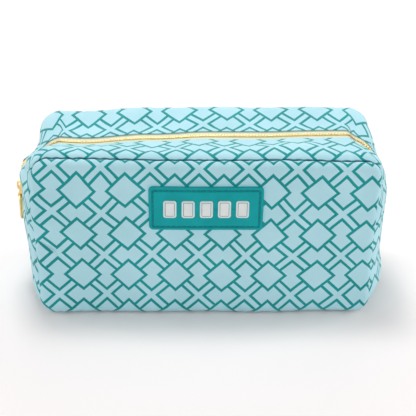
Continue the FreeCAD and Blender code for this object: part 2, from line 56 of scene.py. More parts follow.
# The bag seam to seam
HALF_WIDTH = 0.120
HALF_DEPTH = 0.045
HEIGHT = 0.122
CORNER = 0.012
CORNER_X = HALF_WIDTH - CORNER
CORNER_TOP_Z = HEIGHT - CORNER

# The seam line, where both fabrics dive in: how far in from the outline, and from the middle of the bag
SEAM_INSET = 0.0018
PANEL_SEAM_Y = -0.0427
BAND_SEAM_Y = 0.0425
# How far from the seam the painted shade in the crease is full, and where it ends, on the panels and on the
# band
PANEL_SEAM_SHADE = (0.0004, 0.0011)
BAND_SEAM_SHADE = (0.0022, 0.0034)
GATHER = 0.0011

# Front and back panels
PANEL_PUFF = 0.0034
PANEL_CROWN = 0.0008
PANEL_CREST = 0.0007
PANEL_ROLL = 0.0050
BASE_ROLL = 0.0058
PADDED_WALL = 0.0034
FLANGE = 0.0029
FLANGE_REACH = 0.004

# The band round the panels
SIDE_BULGE = 0.0135
LOW_SIDE_BULGE = 0.011
SHOULDER_Z = 0.097
TOP_RISE = 0.0006
TOP_ROLL = 0.0020
ROLL_SHAPE = 27 / 4
FRONT_PUFF = 0.0009
BACK_PUFF = 0.0034
PUFF_SHAPE = 5**5 / 4**4
BAND_ROLL = 0.0046
BAND_DIP = 0.0031
BAND_REACH = 0.04398
CROSS_SEAM_Z = 0.072
CROSS_SEAM_GAP = 0.0003
CROSS_SEAM_DIP = 0.0012
CROSS_SEAM_ROLL = 0.0030

# Zip
ZIP_SLOT = 0.0052
STRIP_EDGE = 0.0062
FRONT_FOLD_RAISE = -0.0005
BACK_FOLD_RAISE = 0.0002
FOLD_REACH = 0.007
# How far the painted shade of the crevice under the zip's folded edge reaches
FOLD_SHADE = 0.0003
FABRIC = 0.0009
FOAM_START = 0.0124
TAPE_OUTER = 0.012
TAPE_INNER = 0.00135
TAPE_TOP = 0.00102
TAPE_THICKNESS = 0.0008
TAPE_MIDDLE = TAPE_TOP + TAPE_THICKNESS / 2
TOOTH_PITCH = 0.0022
TOOTH_LENGTH = 0.00085
TOOTH_HEIGHT = 0.0026
TOOTH_REACH = 0.0021
TOOTH_ROOT = 0.0012
TOOTH_TIP = 0.0006
TOOTH_SLOT = 0.00052
FRONT_TEETH = 98
LAST_TOOTH_X = (FRONT_TEETH - 1) / 2 * TOOTH_PITCH
LOWEST_LEFT_TOOTH_Z = 0.0821
LOWEST_RIGHT_TOOTH_Z = 0.0765
SLIDER_TOP_AT_LIMIT_Z = 0.0963

# Lining and seam bindings
LINING_TOP = 0.00354
LINING_THICKNESS = 0.0005
LINING_INNER = 0.007
LINING_END = 0.04084
LINING_INSET = 0.0042
LINING_CLEARANCE = 0.00012
LINING_COLUMNS = 41
BINDING_INSET = 0.0049
BINDING_WIDTH = 0.007
BINDING_THICKNESS = 0.0038
BINDING_Y = 0.0409

# Printed lattice: its repeat, how much it leans on the panels, and where a square's centre lies
LATTICE = 0.0336
LATTICE_LEAN = 0.0105
LEFT_GATHERED = 1.0135
FRONT_LATTICE = (0.0112, 0.1006)
BACK_LATTICE = (0.0, 0.1030)
FRONT_STRIP_LATTICE = (-0.0043, 0.0011)
BACK_STRIP_LATTICE = (0.0150, -0.0133)

# Label patch
PATCH_WIDTH = 0.0788
PATCH_HEIGHT = 0.033
PATCH_X = -0.0006
PATCH_Z = 0.0878
PATCH_THICKNESS = 0.0020
PATCH_CORNER = 0.003
PATCH_SINK = 0.0004
GROOVE_INSET = 0.0019
GROOVE_WIDTH = 0.0014
GROOVE_DEPTH = 0.0007
STITCH_PITCH = 0.0037
STITCH_LENGTH = 0.0026
STITCH_WIDTH = 0.0006
TILE_COUNT = 5
TILE_WIDTH = 0.009
TILE_HEIGHT = 0.013
TILE_PITCH = 0.0125
TILE_CORNER = 0.0018
TILE_PROUD = 0.0008


def smooth(share):
    share = np.clip(share, 0.0, 1.0)
    return share * share * (3 - 2 * share)


def eased_between(value, *stops):
    """Goes smoothly from one stop to the next; each stop is (value, result)."""
    result = np.full(np.shape(value), float(stops[0][1]))
    for (start, low), (end, high) in zip(stops, stops[1:]):
        result = result + (high - low) * smooth((value - start) / (end - start))
    return result


# Materials


class Nodes:
    """Builds a material's nodes with as few words as they need."""

    def __init__(self, name, roughness, metallic=0.0):
        self.material = bpy.data.materials.new(name)
        self.material.use_nodes = True
        self.tree = self.material.node_tree
        self.shader = self.tree.nodes["Principled BSDF"]
        self.shader.inputs["Roughness"].default_value = roughness
        self.shader.inputs["Metallic"].default_value = metallic

    def add(self, kind, **inputs):
        node = self.tree.nodes.new(kind)
        for name, value in inputs.items():
            self.feed(node.inputs[name.replace("_", " ")], value)
        return node

    def feed(self, socket, value):
        if isinstance(value, bpy.types.NodeSocket):
            self.tree.links.new(value, socket)
        else:
            socket.default_value = value

    def math(self, operation, first, second=0.0, third=0.0):
        node = self.tree.nodes.new("ShaderNodeMath")
        node.operation = operation
        for socket, value in zip(node.inputs, (first, second, third)):
            self.feed(socket, value)
        return node.outputs[0]

    def ramp(self, value, low, high, to_low=0.0, to_high=1.0):
        node = self.tree.nodes.new("ShaderNodeMapRange")
        node.interpolation_type = "SMOOTHSTEP"
        for name, number in (
            ("Value", value),
            ("From Min", low),
            ("From Max", high),
            ("To Min", to_low),
            ("To Max", to_high),
        ):
            self.feed(node.inputs[name], number)
        return node.outputs[0]

    def mix(self, share, first, second, blend="MIX"):
        node = self.tree.nodes.new("ShaderNodeMix")
        node.data_type = "RGBA"
        node.blend_type = blend
        self.feed(node.inputs[0], share)
        self.feed(node.inputs[6], first)
        self.feed(node.inputs[7], second)
        return node.outputs[2]

    def noise(self, scale, detail=3.0, where=None):
        node = self.add("ShaderNodeTexNoise", Scale=scale, Detail=detail)
        if where is None:
            where = self.add("ShaderNodeTexCoord").outputs["Object"]
        self.feed(node.inputs["Vector"], where)
        return node.outputs["Fac"]

    def flat(self):
        node = self.tree.nodes.new("ShaderNodeUVMap")
        node.uv_map = "fabric"
        return node.outputs["UV"]

    def bump(self, height, distance, strength=1.0, under=None):
        node = self.add("ShaderNodeBump", Height=height, Distance=distance, Strength=strength)
        if under is not None:
            self.feed(node.inputs["Normal"], under)
        return node.outputs["Normal"]

    def set(self, name, value):
        self.feed(self.shader.inputs[name], value)


def linear(red, green, blue):
    """A colour as it is seen, 0 to 255, as the linear colour that a shader takes."""
    values = []
    for part in (red, green, blue):
        part /= 255
        values.append(part / 12.92 if part <= 0.04045 else ((part + 0.055) / 1.055) ** 2.4)
    return (*values, 1.0)


def weave(nodes, pitch):
    """Over and under threads of a plain weave on the fabric's own flat coordinates."""
    split = nodes.add("ShaderNodeSeparateXYZ", Vector=nodes.flat())
    turn = 2 * math.pi / pitch
    across = nodes.math("SINE", nodes.math("MULTIPLY", split.outputs["X"], turn))
    along = nodes.math("SINE", nodes.math("MULTIPLY", split.outputs["Y"], turn))
    return nodes.math("MULTIPLY", across, along)


def lattice_line(nodes, where):
    """1 on the printed lines: large squares stood on their corners, joined by crossing bands."""
    half_diagonal = 0.37
    band = 0.084
    half_line = 0.030
    softness = 0.006
    root_half = math.sqrt(0.5)
    split = nodes.add("ShaderNodeSeparateXYZ", Vector=where)
    across = nodes.math("PINGPONG", nodes.math("DIVIDE", split.outputs["X"], LATTICE), 0.5)
    along = nodes.math("PINGPONG", nodes.math("DIVIDE", split.outputs["Y"], LATTICE), 0.5)
    reach = nodes.math("SUBTRACT", nodes.math("ADD", across, along), half_diagonal)
    square = nodes.math("MULTIPLY", nodes.math("ABSOLUTE", reach), root_half)
    slant = nodes.math("MULTIPLY", nodes.math("ABSOLUTE", nodes.math("SUBTRACT", across, along)), root_half)
    edge = nodes.math("ABSOLUTE", nodes.math("SUBTRACT", slant, band))
    inside_square = nodes.math("LESS_THAN", reach, 0.0)
    distance = nodes.math("MINIMUM", square, nodes.math("ADD", edge, inside_square))
    return nodes.ramp(distance, half_line - softness, half_line + softness, 1.0, 0.0)


def printed_canvas():
    nodes = Nodes("printed_canvas", 0.78)
    flat = nodes.flat()
    wobble = nodes.add("ShaderNodeTexNoise", Vector=flat, Scale=400.0, Detail=2.0)
    offset = nodes.add("ShaderNodeVectorMath", Vector=wobble.outputs["Color"])
    offset.operation = "MULTIPLY_ADD"
    offset.inputs[1].default_value = (0.0003, 0.0003, 0.0)
    nodes.feed(offset.inputs[2], flat)
    line = lattice_line(nodes, offset.outputs[0])
    patchy = nodes.noise(35.0)
    ground = nodes.mix(nodes.ramp(patchy, 0.3, 0.7), linear(182, 230, 241), linear(190, 235, 246))
    ink = nodes.mix(nodes.ramp(patchy, 0.3, 0.7), linear(0, 145, 146), linear(0, 158, 159))
    threads = weave(nodes, 0.0006)
    colour = nodes.mix(line, ground, ink)
    shade = nodes.ramp(threads, -1.0, 1.0, 0.94, 1.0)
    # Painted shade: a point attribute mixes the print towards dark teal in seam creases, folds and along the
    # zip's folded edge, where shade falls.
    painted_crease_shade = nodes.tree.nodes.new("ShaderNodeAttribute")
    painted_crease_shade.attribute_name = "painted_crease_shade"
    colour = nodes.mix(nodes.ramp(painted_crease_shade.outputs["Fac"], 0.0, 1.0, 0.0, 0.9), colour, linear(0, 92, 108))
    shaded = nodes.add("ShaderNodeVectorMath", Vector=colour)
    shaded.operation = "SCALE"
    nodes.feed(shaded.inputs["Scale"], shade)
    nodes.set("Base Color", shaded.outputs[0])
    soft = nodes.bump(nodes.noise(160.0, 4.0), 0.0005, 0.35)
    nodes.set("Normal", nodes.bump(threads, 0.00008, 0.6, soft))
    nodes.set("Roughness", nodes.ramp(line, 0.0, 1.0, 0.60, 0.52))
    nodes.set("Specular IOR Level", 0.2)
    nodes.set("Sheen Weight", 0.12)
    nodes.set("Sheen Roughness", 0.35)
    return nodes.material


def woven_cloth(name, first, second, pitch, roughness, sheen):
    nodes = Nodes(name, roughness)
    threads = weave(nodes, pitch)
    patchy = nodes.ramp(nodes.noise(60.0), 0.3, 0.7)
    colour = nodes.mix(patchy, first, second)
    shaded = nodes.add("ShaderNodeVectorMath", Vector=colour)
    shaded.operation = "SCALE"
    nodes.feed(shaded.inputs["Scale"], nodes.ramp(threads, -1.0, 1.0, 0.88, 1.0))
    nodes.set("Base Color", shaded.outputs[0])
    nodes.set("Normal", nodes.bump(threads, pitch * 0.2, 0.7))
    nodes.set("Sheen Weight", sheen)
    return nodes.material


def zip_metal():
    nodes = Nodes("zip_metal", 0.3, 1.0)
    worn = nodes.ramp(nodes.noise(900.0, 4.0), 0.35, 0.7)
    nodes.set("Base Color", nodes.mix(worn, linear(236, 205, 130), linear(246, 224, 160)))
    nodes.set("Roughness", nodes.ramp(nodes.noise(2500.0, 2.0), 0.3, 0.7, 0.24, 0.38))
    nodes.set("Normal", nodes.bump(nodes.noise(1400.0, 3.0), 0.00004, 0.4))
    return nodes.material


def moulded_rubber(name, first, second, grain):
    nodes = Nodes(name, 0.5)
    patchy = nodes.ramp(nodes.noise(90.0), 0.3, 0.7)
    nodes.set("Base Color", nodes.mix(patchy, first, second))
    nodes.set("Roughness", nodes.ramp(nodes.noise(700.0, 3.0), 0.3, 0.7, 0.42, 0.58))
    nodes.set("Normal", nodes.bump(nodes.noise(grain, 4.0), 0.00008, 0.5))
    nodes.set("Specular IOR Level", 0.15)
    return nodes.material


CANVAS = printed_canvas()
LINING = woven_cloth("lining", linear(232, 236, 236), linear(222, 228, 230), 0.0005, 0.7, 0.15)
BINDING = woven_cloth("binding", linear(206, 224, 228), linear(196, 216, 222), 0.0008, 0.75, 0.2)
TAPE = woven_cloth("zip_tape", linear(240, 247, 222), linear(232, 243, 214), 0.0007, 0.8, 0.2)
METAL = zip_metal()
RUBBER = moulded_rubber("patch_rubber", linear(4, 156, 160), linear(8, 164, 168), 1500.0)
MOTIF = moulded_rubber("motif_rubber", linear(232, 236, 234), linear(224, 230, 230), 1500.0)
THREAD = woven_cloth("thread", linear(0, 116, 124), linear(0, 124, 132), 0.0004, 0.6, 0.2)


# Meshes


def settle(points):
    """Moves places on the soft bag as its fabric settles: slow billows, full sides and a zip that sinks."""
    points = np.asarray(points, dtype=float)
    x, y, z = points[..., 0], points[..., 1], points[..., 2]
    # The straight run of the zip on the left stays put, because the slider runs along it.
    held = smooth((-x - 0.112) / 0.008) * smooth((0.016 - np.abs(y)) / 0.008)
    held = held * smooth((z - 0.062) / 0.008) * smooth((0.104 - z) / 0.0085)
    free = 1 - held
    # The zip and the patch are stiffer than the cloth, so they billow less.
    by_zip = smooth((0.022 - np.abs(y)) / 0.012) * smooth((z - 0.095) / 0.010)
    by_patch = smooth((0.060 - np.abs(x - PATCH_X)) / 0.018) * smooth((0.032 - np.abs(z - PATCH_Z)) / 0.014)
    by_patch = by_patch * smooth((-y - 0.034) / 0.006)
    by_seam = smooth((z - 0.104) / 0.010) * smooth((-y - 0.028) / 0.010)
    loose = free * (1 - 0.75 * by_zip) * (1 - 0.9 * by_patch) * (1 - 0.7 * by_seam)
    random = np.random.default_rng(7)
    moved = points.copy()
    for axis, amplitude in ((0, 0.0006), (1, 0.0008), (2, 0.0007)):
        total = np.zeros_like(x)
        for _ in range(6):
            direction = random.normal(size=3)
            direction /= np.linalg.norm(direction)
            wave = 2 * math.pi / random.uniform(0.045, 0.11)
            total += np.sin(wave * (points @ direction) + random.uniform(0, 2 * math.pi))
        weight = smooth(z / 0.035) if axis == 2 else 1.0
        moved[..., axis] += amplitude * total * loose * weight / math.sqrt(3)
    # Below, places are in metres and the amounts beside them in millimetres.
    middle = np.clip(1 - (y / BAND_SEAM_Y) ** 2, 0, 1)
    left = eased_between(z, (0.012, -0.6), (0.040, -1.5), (0.066, 0.5), (0.088, 0.6), (0.107, -8.4))
    right = eased_between(z, (0.010, 5.0), (0.040, -0.6), (0.062, -1.9), (0.082, -1.8), (0.104, -8.2))
    fullness = np.where(x < 0, -left, right) * middle * smooth((np.abs(x) - 0.100) / 0.016)
    left = eased_between(z, (0.020, 0.0), (0.055, 0.5), (0.088, 2.2), (0.122, 0.0))
    right = eased_between(z, (0.012, 0.0), (0.062, -1.0), (0.084, 0.0), (0.103, 1.6), (0.122, 0.3))
    bow = np.where(x < 0, -left, right) * (1 - middle) * smooth((np.abs(x) - 0.098) / 0.018)
    moved[..., 0] += 0.001 * (fullness + bow) * free
    # At the shoulders the strips stand fuller beside the zip, which lies in a dip between them.
    fuller = smooth((z - 0.088) / 0.012) * smooth((np.abs(x) - 0.100) / 0.012)
    for side, ridge_y, height in ((-1, -0.021, 5.0), (1, -0.021, 2.6), (1, 0.022, 2.0)):
        ridge = np.exp(-(((y - ridge_y) / 0.009) ** 2)) * (side * x > 0)
        moved[..., 0] += 0.001 * side * height * ridge * fuller * free
    across = 1 - np.clip(np.abs(y) / BAND_SEAM_Y, 0, 1) ** 1.5
    top = smooth((z - 0.099) / 0.016) * across * 0.001
    sink = (
        (-0.125, 5.0),
        (-0.110, 4.2),
        (-0.085, 5.0),
        (-0.040, 2.9),
        (0.0, 2.0),
        (0.040, 1.6),
        (0.100, 0.1),
    )
    forward = ((-0.125, 7.0), (-0.110, 4.8), (-0.085, 5.0), (-0.040, 2.1), (0.0, 0.5), (0.100, 0.0))
    moved[..., 2] += 0.012 * z * smooth(-x / 0.100) * smooth((0.020 - y) / 0.050)
    moved[..., 2] -= 0.022 * z * smooth(-x / 0.115) * smooth((y - 0.005) / 0.030)
    moved[..., 2] -= eased_between(x, *sink, (0.122, 3.0)) * top
    moved[..., 1] -= eased_between(x, *forward, (0.122, 5.0)) * top
    return moved


def pucker(x, z, out_x, out_z):
    """Small gathers along the seams, the same on both sides of a seam: bulges with a pinch between."""
    total = 0.0
    for place, share, phase in ((x, out_z, 0.0), (z, out_x, 1.3)):
        pinches = place / 0.0029 + 1.2 * np.sin(place / 0.013 + phase) + 0.9 * np.sin(place / 0.0072 + 2.0)
        strength = 0.7 + 0.3 * np.sin(place / 0.019 + 2.1 * phase)
        total = total + (np.abs(np.sin(pinches)) - 0.64) * strength * share * share
    return total


def grid_faces(rows, columns, start, flip=False):
    """Quads over a grid of points that begins at start in the list."""
    row, column = np.meshgrid(np.arange(rows - 1), np.arange(columns - 1), indexing="ij")
    corner = (start + row * columns + column).ravel()
    quads = np.stack((corner, corner + 1, corner + columns + 1, corner + columns), axis=1)
    return quads[:, ::-1] if flip else quads


def rim_faces(rows, columns, first, second):
    """Quads that join the edges of two grids, one at first and one at second in the list."""
    top = np.arange(columns)
    right = np.arange(1, rows) * columns + columns - 1
    bottom = (rows - 1) * columns + np.arange(columns - 2, -1, -1)
    left = np.arange(rows - 2, 0, -1) * columns
    loop = np.concatenate((top, right, bottom, left))
    following = np.roll(loop, -1)
    return np.stack((first + loop, first + following, second + following, second + loop), axis=1)


def new_piece(name, points, faces, material, flat=None, painted_crease_shade=None, sharp=50.0):
    """A closed mesh object with smooth shading, outward normals and its flat fabric coordinates."""
    mesh = bpy.data.meshes.new(name)
    mesh.from_pydata(np.asarray(points).reshape(-1, 3).tolist(), [], [list(map(int, face)) for face in faces])
    build = bmesh.new()
    build.from_mesh(mesh)
    bmesh.ops.recalc_face_normals(build, faces=build.faces)
    if build.calc_volume(signed=True) < 0:
        bmesh.ops.reverse_faces(build, faces=build.faces)
    build.to_mesh(mesh)
    build.free()
    mesh.polygons.foreach_set("use_smooth", [True] * len(mesh.polygons))
    mesh.set_sharp_from_angle(angle=math.radians(sharp))
    if flat is None:
        flat = np.asarray(points).reshape(-1, 3)[:, (0, 2)]
    layer = mesh.uv_layers.new(name="fabric")
    places = np.empty(len(mesh.loops), dtype=int)
    mesh.loops.foreach_get("vertex_index", places)
    layer.data.foreach_set("uv", np.asarray(flat).reshape(-1, 2)[places].ravel())
    # The painted crease shade, when given, is stored as a point attribute for the canvas material.
    if painted_crease_shade is not None:
        attribute = mesh.attributes.new("painted_crease_shade", "FLOAT", "POINT")
        attribute.data.foreach_set("value", np.asarray(painted_crease_shade).ravel())
    mesh.materials.append(material)
    piece = bpy.data.objects.new(name, mesh)
    bpy.context.scene.collection.objects.link(piece)
    return piece


def thick_sheet(name, outer, inner, material, slot, flat, painted_crease_shade=None, inside=None):
    """A closed piece between an outer and an inner grid of points of the same size."""
    rows, columns = outer.shape[:2]
    second = rows * columns
    points = np.concatenate((outer.reshape(-1, 3), inner.reshape(-1, 3)))
    faces = np.concatenate(
        (
            grid_faces(rows, columns, 0),
            grid_faces(rows, columns, second, flip=True),
            rim_faces(rows, columns, 0, second),
        )
    )
    flat = np.concatenate((flat.reshape(-1, 2), flat.reshape(-1, 2)))
    # The inner grid takes full painted shade, so the rim between the two skins shows dark.
    if painted_crease_shade is not None:
        painted_crease_shade = np.concatenate((painted_crease_shade.ravel(), np.ones(second)))
    piece = new_piece(name, settle(points), faces, material, flat, painted_crease_shade)
    if inside is not None:
        piece.data.materials.append(inside)
        count = (rows - 1) * (columns - 1)
        for face in piece.data.polygons[count:]:
            face.material_index = 1
    return piece


# Front and back panels


class PanelGrid:
    """Places over a rounded panel: a grid whose outer rings follow the rounded outline."""

    ROLL_CELLS = 16
    RING_CELLS = 20
    ROLL_TURN = math.radians(128)

    def __init__(self, cell=0.0014):
        rings = self.RING_CELLS
        columns = round(2 * CORNER_X / cell)
        rows = round((CORNER_TOP_Z - CORNER) / cell)
        column = np.arange(columns + 2 * rings + 1)
        row = np.arange(rows + 2 * rings + 1)
        core_x = np.clip((column - rings) / columns, 0, 1) * 2 * CORNER_X - CORNER_X
        core_z = np.clip((row - rings) / rows, 0, 1) * (CORNER_TOP_Z - CORNER) + CORNER
        beyond_x = rings - np.minimum(np.minimum(column, column[::-1]), rings)
        beyond_z = rings - np.minimum(np.minimum(row, row[::-1]), rings)
        side_x = np.where(column < len(column) / 2, -1.0, 1.0)
        side_z = np.where(row < len(row) / 2, -1.0, 1.0)
        a, b = np.meshgrid(beyond_x, beyond_z)
        self.core_x, self.core_z = np.meshgrid(core_x, core_z)
        side_x, side_z = np.meshgrid(side_x, side_z)
        most = np.maximum(np.maximum(a, b), 1)
        angle = np.where(a >= b, math.pi / 4 * b / most, math.pi / 2 - math.pi / 4 * a / most)
        self.out_x = side_x * np.cos(angle)
        self.out_z = side_z * np.sin(angle)
        self.ring = rings - np.maximum(a, b)
        # The fabric turns in tightly at the top and sides and in a larger roll along the base.
        roll = PANEL_ROLL + (BASE_ROLL - PANEL_ROLL) * smooth(-self.out_z * 1.4 - 0.2)
        self.turn = self.ROLL_TURN * np.clip(1 - self.ring / self.ROLL_CELLS, 0, 1)
        rolled_inset = PANEL_CREST + roll * (1 - np.sin(self.turn))
        rolled_flat = PANEL_CREST + roll - roll * self.turn
        outwards = (self.ring - self.ROLL_CELLS) / (rings - self.ROLL_CELLS)
        straight = PANEL_CREST + roll + np.clip(outwards, 0, 1) * (CORNER - PANEL_CREST - roll)
        rolling = self.turn > 0
        self.inset = np.where(rolling, rolled_inset, straight)
        self.flat_inset = np.where(rolling, rolled_flat, straight)
        self.seam_distance = self.flat_inset - (PANEL_CREST + roll - roll * self.ROLL_TURN)

    def place(self, inset):
        x = self.core_x + self.out_x * (CORNER - inset)
        z = self.core_z + self.out_z * (CORNER - inset)
        return x, z


def panel_face(x, z):
    """How far the front of the padded panel stands from the middle of the bag."""
    across = 1 - np.abs(x / HALF_WIDTH) ** 10
    upward = 1 - (2 * z / HEIGHT - 1) ** 4
    return -HALF_DEPTH - PANEL_PUFF - PANEL_CROWN * across * upward


def diagonal_fold(x, z):
    """The small fold that runs in and down from the lower left of the front seam, from 0 to 1."""
    start = np.array((-0.1185, 0.0600))
    way = np.array((0.0150, -0.0100))
    length = np.linalg.norm(way)
    way = way / length
    along = (x - start[0]) * way[0] + (z - start[1]) * way[1]
    aside = (x - start[0]) * way[1] - (z - start[1]) * way[0]
    ends = smooth(along / 0.003) * smooth((length - along) / 0.006)
    return np.exp(-((aside / 0.0016) ** 2)) * ends


def shade_of_seam(distance, shade):
    """How much painted shade the fabric gets at a distance from its seam: full up to the first mark, none
    past the second.
    """
    return 1 - smooth((distance - shade[0]) / (shade[1] - shade[0]))


def make_panel(side, lattice_at):
    """One padded panel, its side -1 for the front and 1 for the back."""
    grid = PanelGrid()
    x, z = grid.place(grid.inset)
    turned = (1 - np.cos(grid.turn)) / (1 - math.cos(grid.ROLL_TURN))
    face = panel_face(x, z)
    y = face + (PANEL_SEAM_Y - face) * turned
    near_seam = np.exp(-grid.seam_distance / 0.009) * np.clip(grid.seam_distance / 0.0015, 0, 1)
    gather = GATHER * pucker(x, z, grid.out_x, grid.out_z) * near_seam
    fold = diagonal_fold(x, z) * (side < 0)
    x = x + grid.out_x * gather * np.sin(grid.turn)
    z = z + grid.out_z * gather * np.sin(grid.turn)
    y = y - gather * np.cos(grid.turn * 0.6) + 0.0010 * fold
    outer = np.stack((x, y, z), axis=-1)
    flange = SEAM_INSET + FLANGE
    inner_x, inner_z = grid.place(flange + (CORNER - flange) * grid.ring / grid.RING_CELLS)
    inner_y = panel_face(inner_x, inner_z) + PADDED_WALL
    inner_y = PANEL_SEAM_Y + (inner_y - PANEL_SEAM_Y) * smooth(grid.ring / (0.6 * grid.RING_CELLS))
    inner = np.stack((inner_x, inner_y, inner_z), axis=-1)
    flat_x, flat_z = grid.place(grid.flat_inset)
    leaning_z = flat_z - lattice_at[1] + LATTICE_LEAN * flat_x
    gathered_x = np.where(flat_x < 0, LEFT_GATHERED * flat_x, flat_x)
    flat = np.stack((gathered_x - lattice_at[0], leaning_z), axis=-1)
    # Painted shade: dark near the seam, where the fabric dives in, and lighter in the small diagonal fold.
    painted_crease_shade = np.maximum(shade_of_seam(grid.seam_distance, PANEL_SEAM_SHADE), 0.4 * fold)
    for points in (outer, inner):
        points[..., 1] *= -side
    name = "front_cover" if side < 0 else "back_cover"
    piece = thick_sheet(name, outer, inner, CANVAS, "printed_canvas", flat, painted_crease_shade, LINING)
    end = name.split("_")[0]
    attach(piece, "bag")
    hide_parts(end + "_panel", end + "_foam")
    lining_x, lining_z = grid.place(LINING_INSET + (CORNER - LINING_INSET) * grid.ring / grid.RING_CELLS)
    lining_y = panel_face(lining_x, lining_z) + PADDED_WALL
    inwards = smooth(grid.ring / (0.6 * grid.RING_CELLS))
    lining_y = PANEL_SEAM_Y + (lining_y - PANEL_SEAM_Y) * inwards + LINING_CLEARANCE
    top = np.stack((lining_x, lining_y * -side, lining_z), axis=-1)
    below = np.stack((lining_x, (lining_y + LINING_THICKNESS) * -side, lining_z), axis=-1)
    lining_flat = np.stack((lining_x, lining_z), axis=-1)
    lining = thick_sheet(end + "_lining_sheet", top, below, LINING, "lining", lining_flat)
    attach(lining, "bag")
    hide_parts(end + "_lining")


make_panel(-1, FRONT_LATTICE)
make_panel(1, BACK_LATTICE)


# The band round the panels


def shoulder(passed):
    """The rise and roll a given length of seam line past the shoulder, where the side draws in."""
    share = smooth(passed / (CORNER_TOP_Z - SHOULDER_Z + CORNER * math.pi / 2))
    return SIDE_BULGE + (TOP_RISE - SIDE_BULGE) * share, TOP_ROLL * share


def side_stations(z):
    share = (z - CORNER) / (CROSS_SEAM_Z - CORNER)
    low = (SIDE_BULGE - LOW_SIDE_BULGE) * (1 - np.sin(math.pi / 2 * np.clip(share, 0, 1)))
    rise, roll = shoulder(z - SHOULDER_Z)
    count = len(z)
    seam = np.stack((np.full(count, -HALF_WIDTH), np.zeros(count), z), axis=1)
    outward = np.tile((-1.0, 0.0, 0.0), (count, 1))
    return seam, outward, outward * (rise - low)[:, None], roll


def top_corner_stations(degrees):
    """0 is where the corner meets the side, 90 where it meets the top."""
    angle = np.radians(degrees)
    outward = np.stack((-np.cos(angle), np.zeros(len(angle)), np.sin(angle)), axis=1)
    rise, roll = shoulder(CORNER_TOP_Z - SHOULDER_Z + CORNER * angle)
    seam = np.array((-CORNER_X, 0.0, CORNER_TOP_Z)) + outward * CORNER
    return seam, outward, outward * rise[:, None], roll


def top_stations(x):
    count = len(x)
    seam = np.stack((x, np.zeros(count), np.full(count, HEIGHT)), axis=1)
    outward = np.tile((0.0, 0.0, 1.0), (count, 1))
    return seam, outward, outward * TOP_RISE, np.full(count, TOP_ROLL)


def base_corner_stations(degrees):
    """0 is where the corner meets the side, 90 where it meets the flat base. The bulge is level here."""
    angle = np.radians(degrees)
    outward = np.stack((-np.cos(angle), np.zeros(len(angle)), -np.sin(angle)), axis=1)
    bulge = LOW_SIDE_BULGE * (1 - smooth(degrees / 90))
    rise = np.stack((-bulge, np.zeros(len(angle)), np.zeros(len(angle))), axis=1)
    seam = np.array((-CORNER_X, 0.0, CORNER)) + outward * CORNER
    return seam, outward, rise, np.zeros(len(angle))


def base_stations(x):
    count = len(x)
    seam = np.stack((x, np.zeros(count), np.zeros(count)), axis=1)
    outward = np.tile((0.0, 0.0, -1.0), (count, 1))
    return seam, outward, outward * 0, np.zeros(count)


def joined(*parts):
    return tuple(np.concatenate(columns) for columns in zip(*parts))


def mirrored(stations):
    """The same stations on the right of the bag, in the other order."""
    seam, outward, rise, roll = (values[::-1].copy() for values in stations)
    for values in (seam, outward, rise):
        values[:, 0] *= -1
    return seam, outward, rise, roll


def from_cross_seam(length, cell=0.0014):
    """Distances from the cross seam, close together where the fabric rolls into it."""
    close = CROSS_SEAM_ROLL * (1 - np.cos(np.linspace(0, math.pi / 2, 9)))
    steps = round((length - CROSS_SEAM_ROLL) / cell)
    return np.concatenate((close[:-1], np.linspace(CROSS_SEAM_ROLL, length, steps + 1)))


def strip_stations():
    """From the cross seam up the left side, round the corner and along the top to the middle."""
    low = CROSS_SEAM_Z + CROSS_SEAM_GAP / 2
    away = from_cross_seam(CORNER_TOP_Z - low)
    side = side_stations(low + away)
    corner = top_corner_stations(np.linspace(0, 90, 25)[1:-1])
    top = top_stations(np.linspace(-CORNER_X, 0, 78))
    return joined(side, corner, top), away


def gusset_stations():
    """From the left cross seam, under the bag and up to the right cross seam."""
    high = CROSS_SEAM_Z - CROSS_SEAM_GAP / 2
    away = from_cross_seam(high - CORNER)
    side = side_stations(high - away)
    corner = base_corner_stations(np.linspace(0, 90, 25)[1:-1])
    base = base_stations(np.linspace(-CORNER_X, CORNER_X, 145))
    left = joined(side, corner)
    return joined(left, base, mirrored(left)), away


def cross_seam_dip(count, away, both_ends):
    """How far the fabric dives at the cross seam, for each of count stations."""
    share = np.clip(1 - away / CROSS_SEAM_ROLL, 0, 1)
    dive = CROSS_SEAM_DIP * (1 - np.sqrt(1 - share * share))
    dip = np.zeros(count)
    dip[: len(away)] = dive
    if both_ends:
        dip[-len(away) :] = dive[::-1]
    return dip


def band_points(stations, y, depth, puff=0.0):
    """Points on the band: a row for each station, a column for each place y across it."""
    seam, outward, rise, roll = stations
    y = np.broadcast_to(y, np.broadcast_shapes(np.shape(y), np.shape(depth), (len(seam), 1)))
    across = np.clip((np.abs(y) - ZIP_SLOT) / (BAND_REACH - ZIP_SLOT), 0, 1)
    swell = roll[:, None] * ROLL_SHAPE * across * across * (1 - across)
    swell = swell + puff * roll[:, None] / TOP_ROLL * PUFF_SHAPE * across**4 * (1 - across)
    middle = 1 - (y / BAND_REACH) ** 2
    points = seam[:, None, :] + rise[:, None, :] * middle[..., None]
    points = points + outward[:, None, :] * (swell - depth)[..., None]
    points[..., 1] += y
    return points


def seam_roll(cells=13, turn_degrees=100.0):
    """Across the band from its seam line: distance in, depth below the skin, and flat distance."""
    most = math.radians(turn_degrees)
    turn = np.linspace(most, 0, cells)
    inwards = BAND_ROLL * (math.sin(most) - np.sin(turn))
    depth = BAND_DIP * (1 - np.cos(turn)) / (1 - math.cos(most))
    return inwards, depth, BAND_ROLL * (most - turn)


def flat_along(points, column, zero_index):
    """Distance along a band, measured on one column and from one of its stations."""
    steps = np.linalg.norm(np.diff(points[:, column], axis=0), axis=1)
    along = np.concatenate(((0.0,), np.cumsum(steps)))
    return along - along[zero_index]


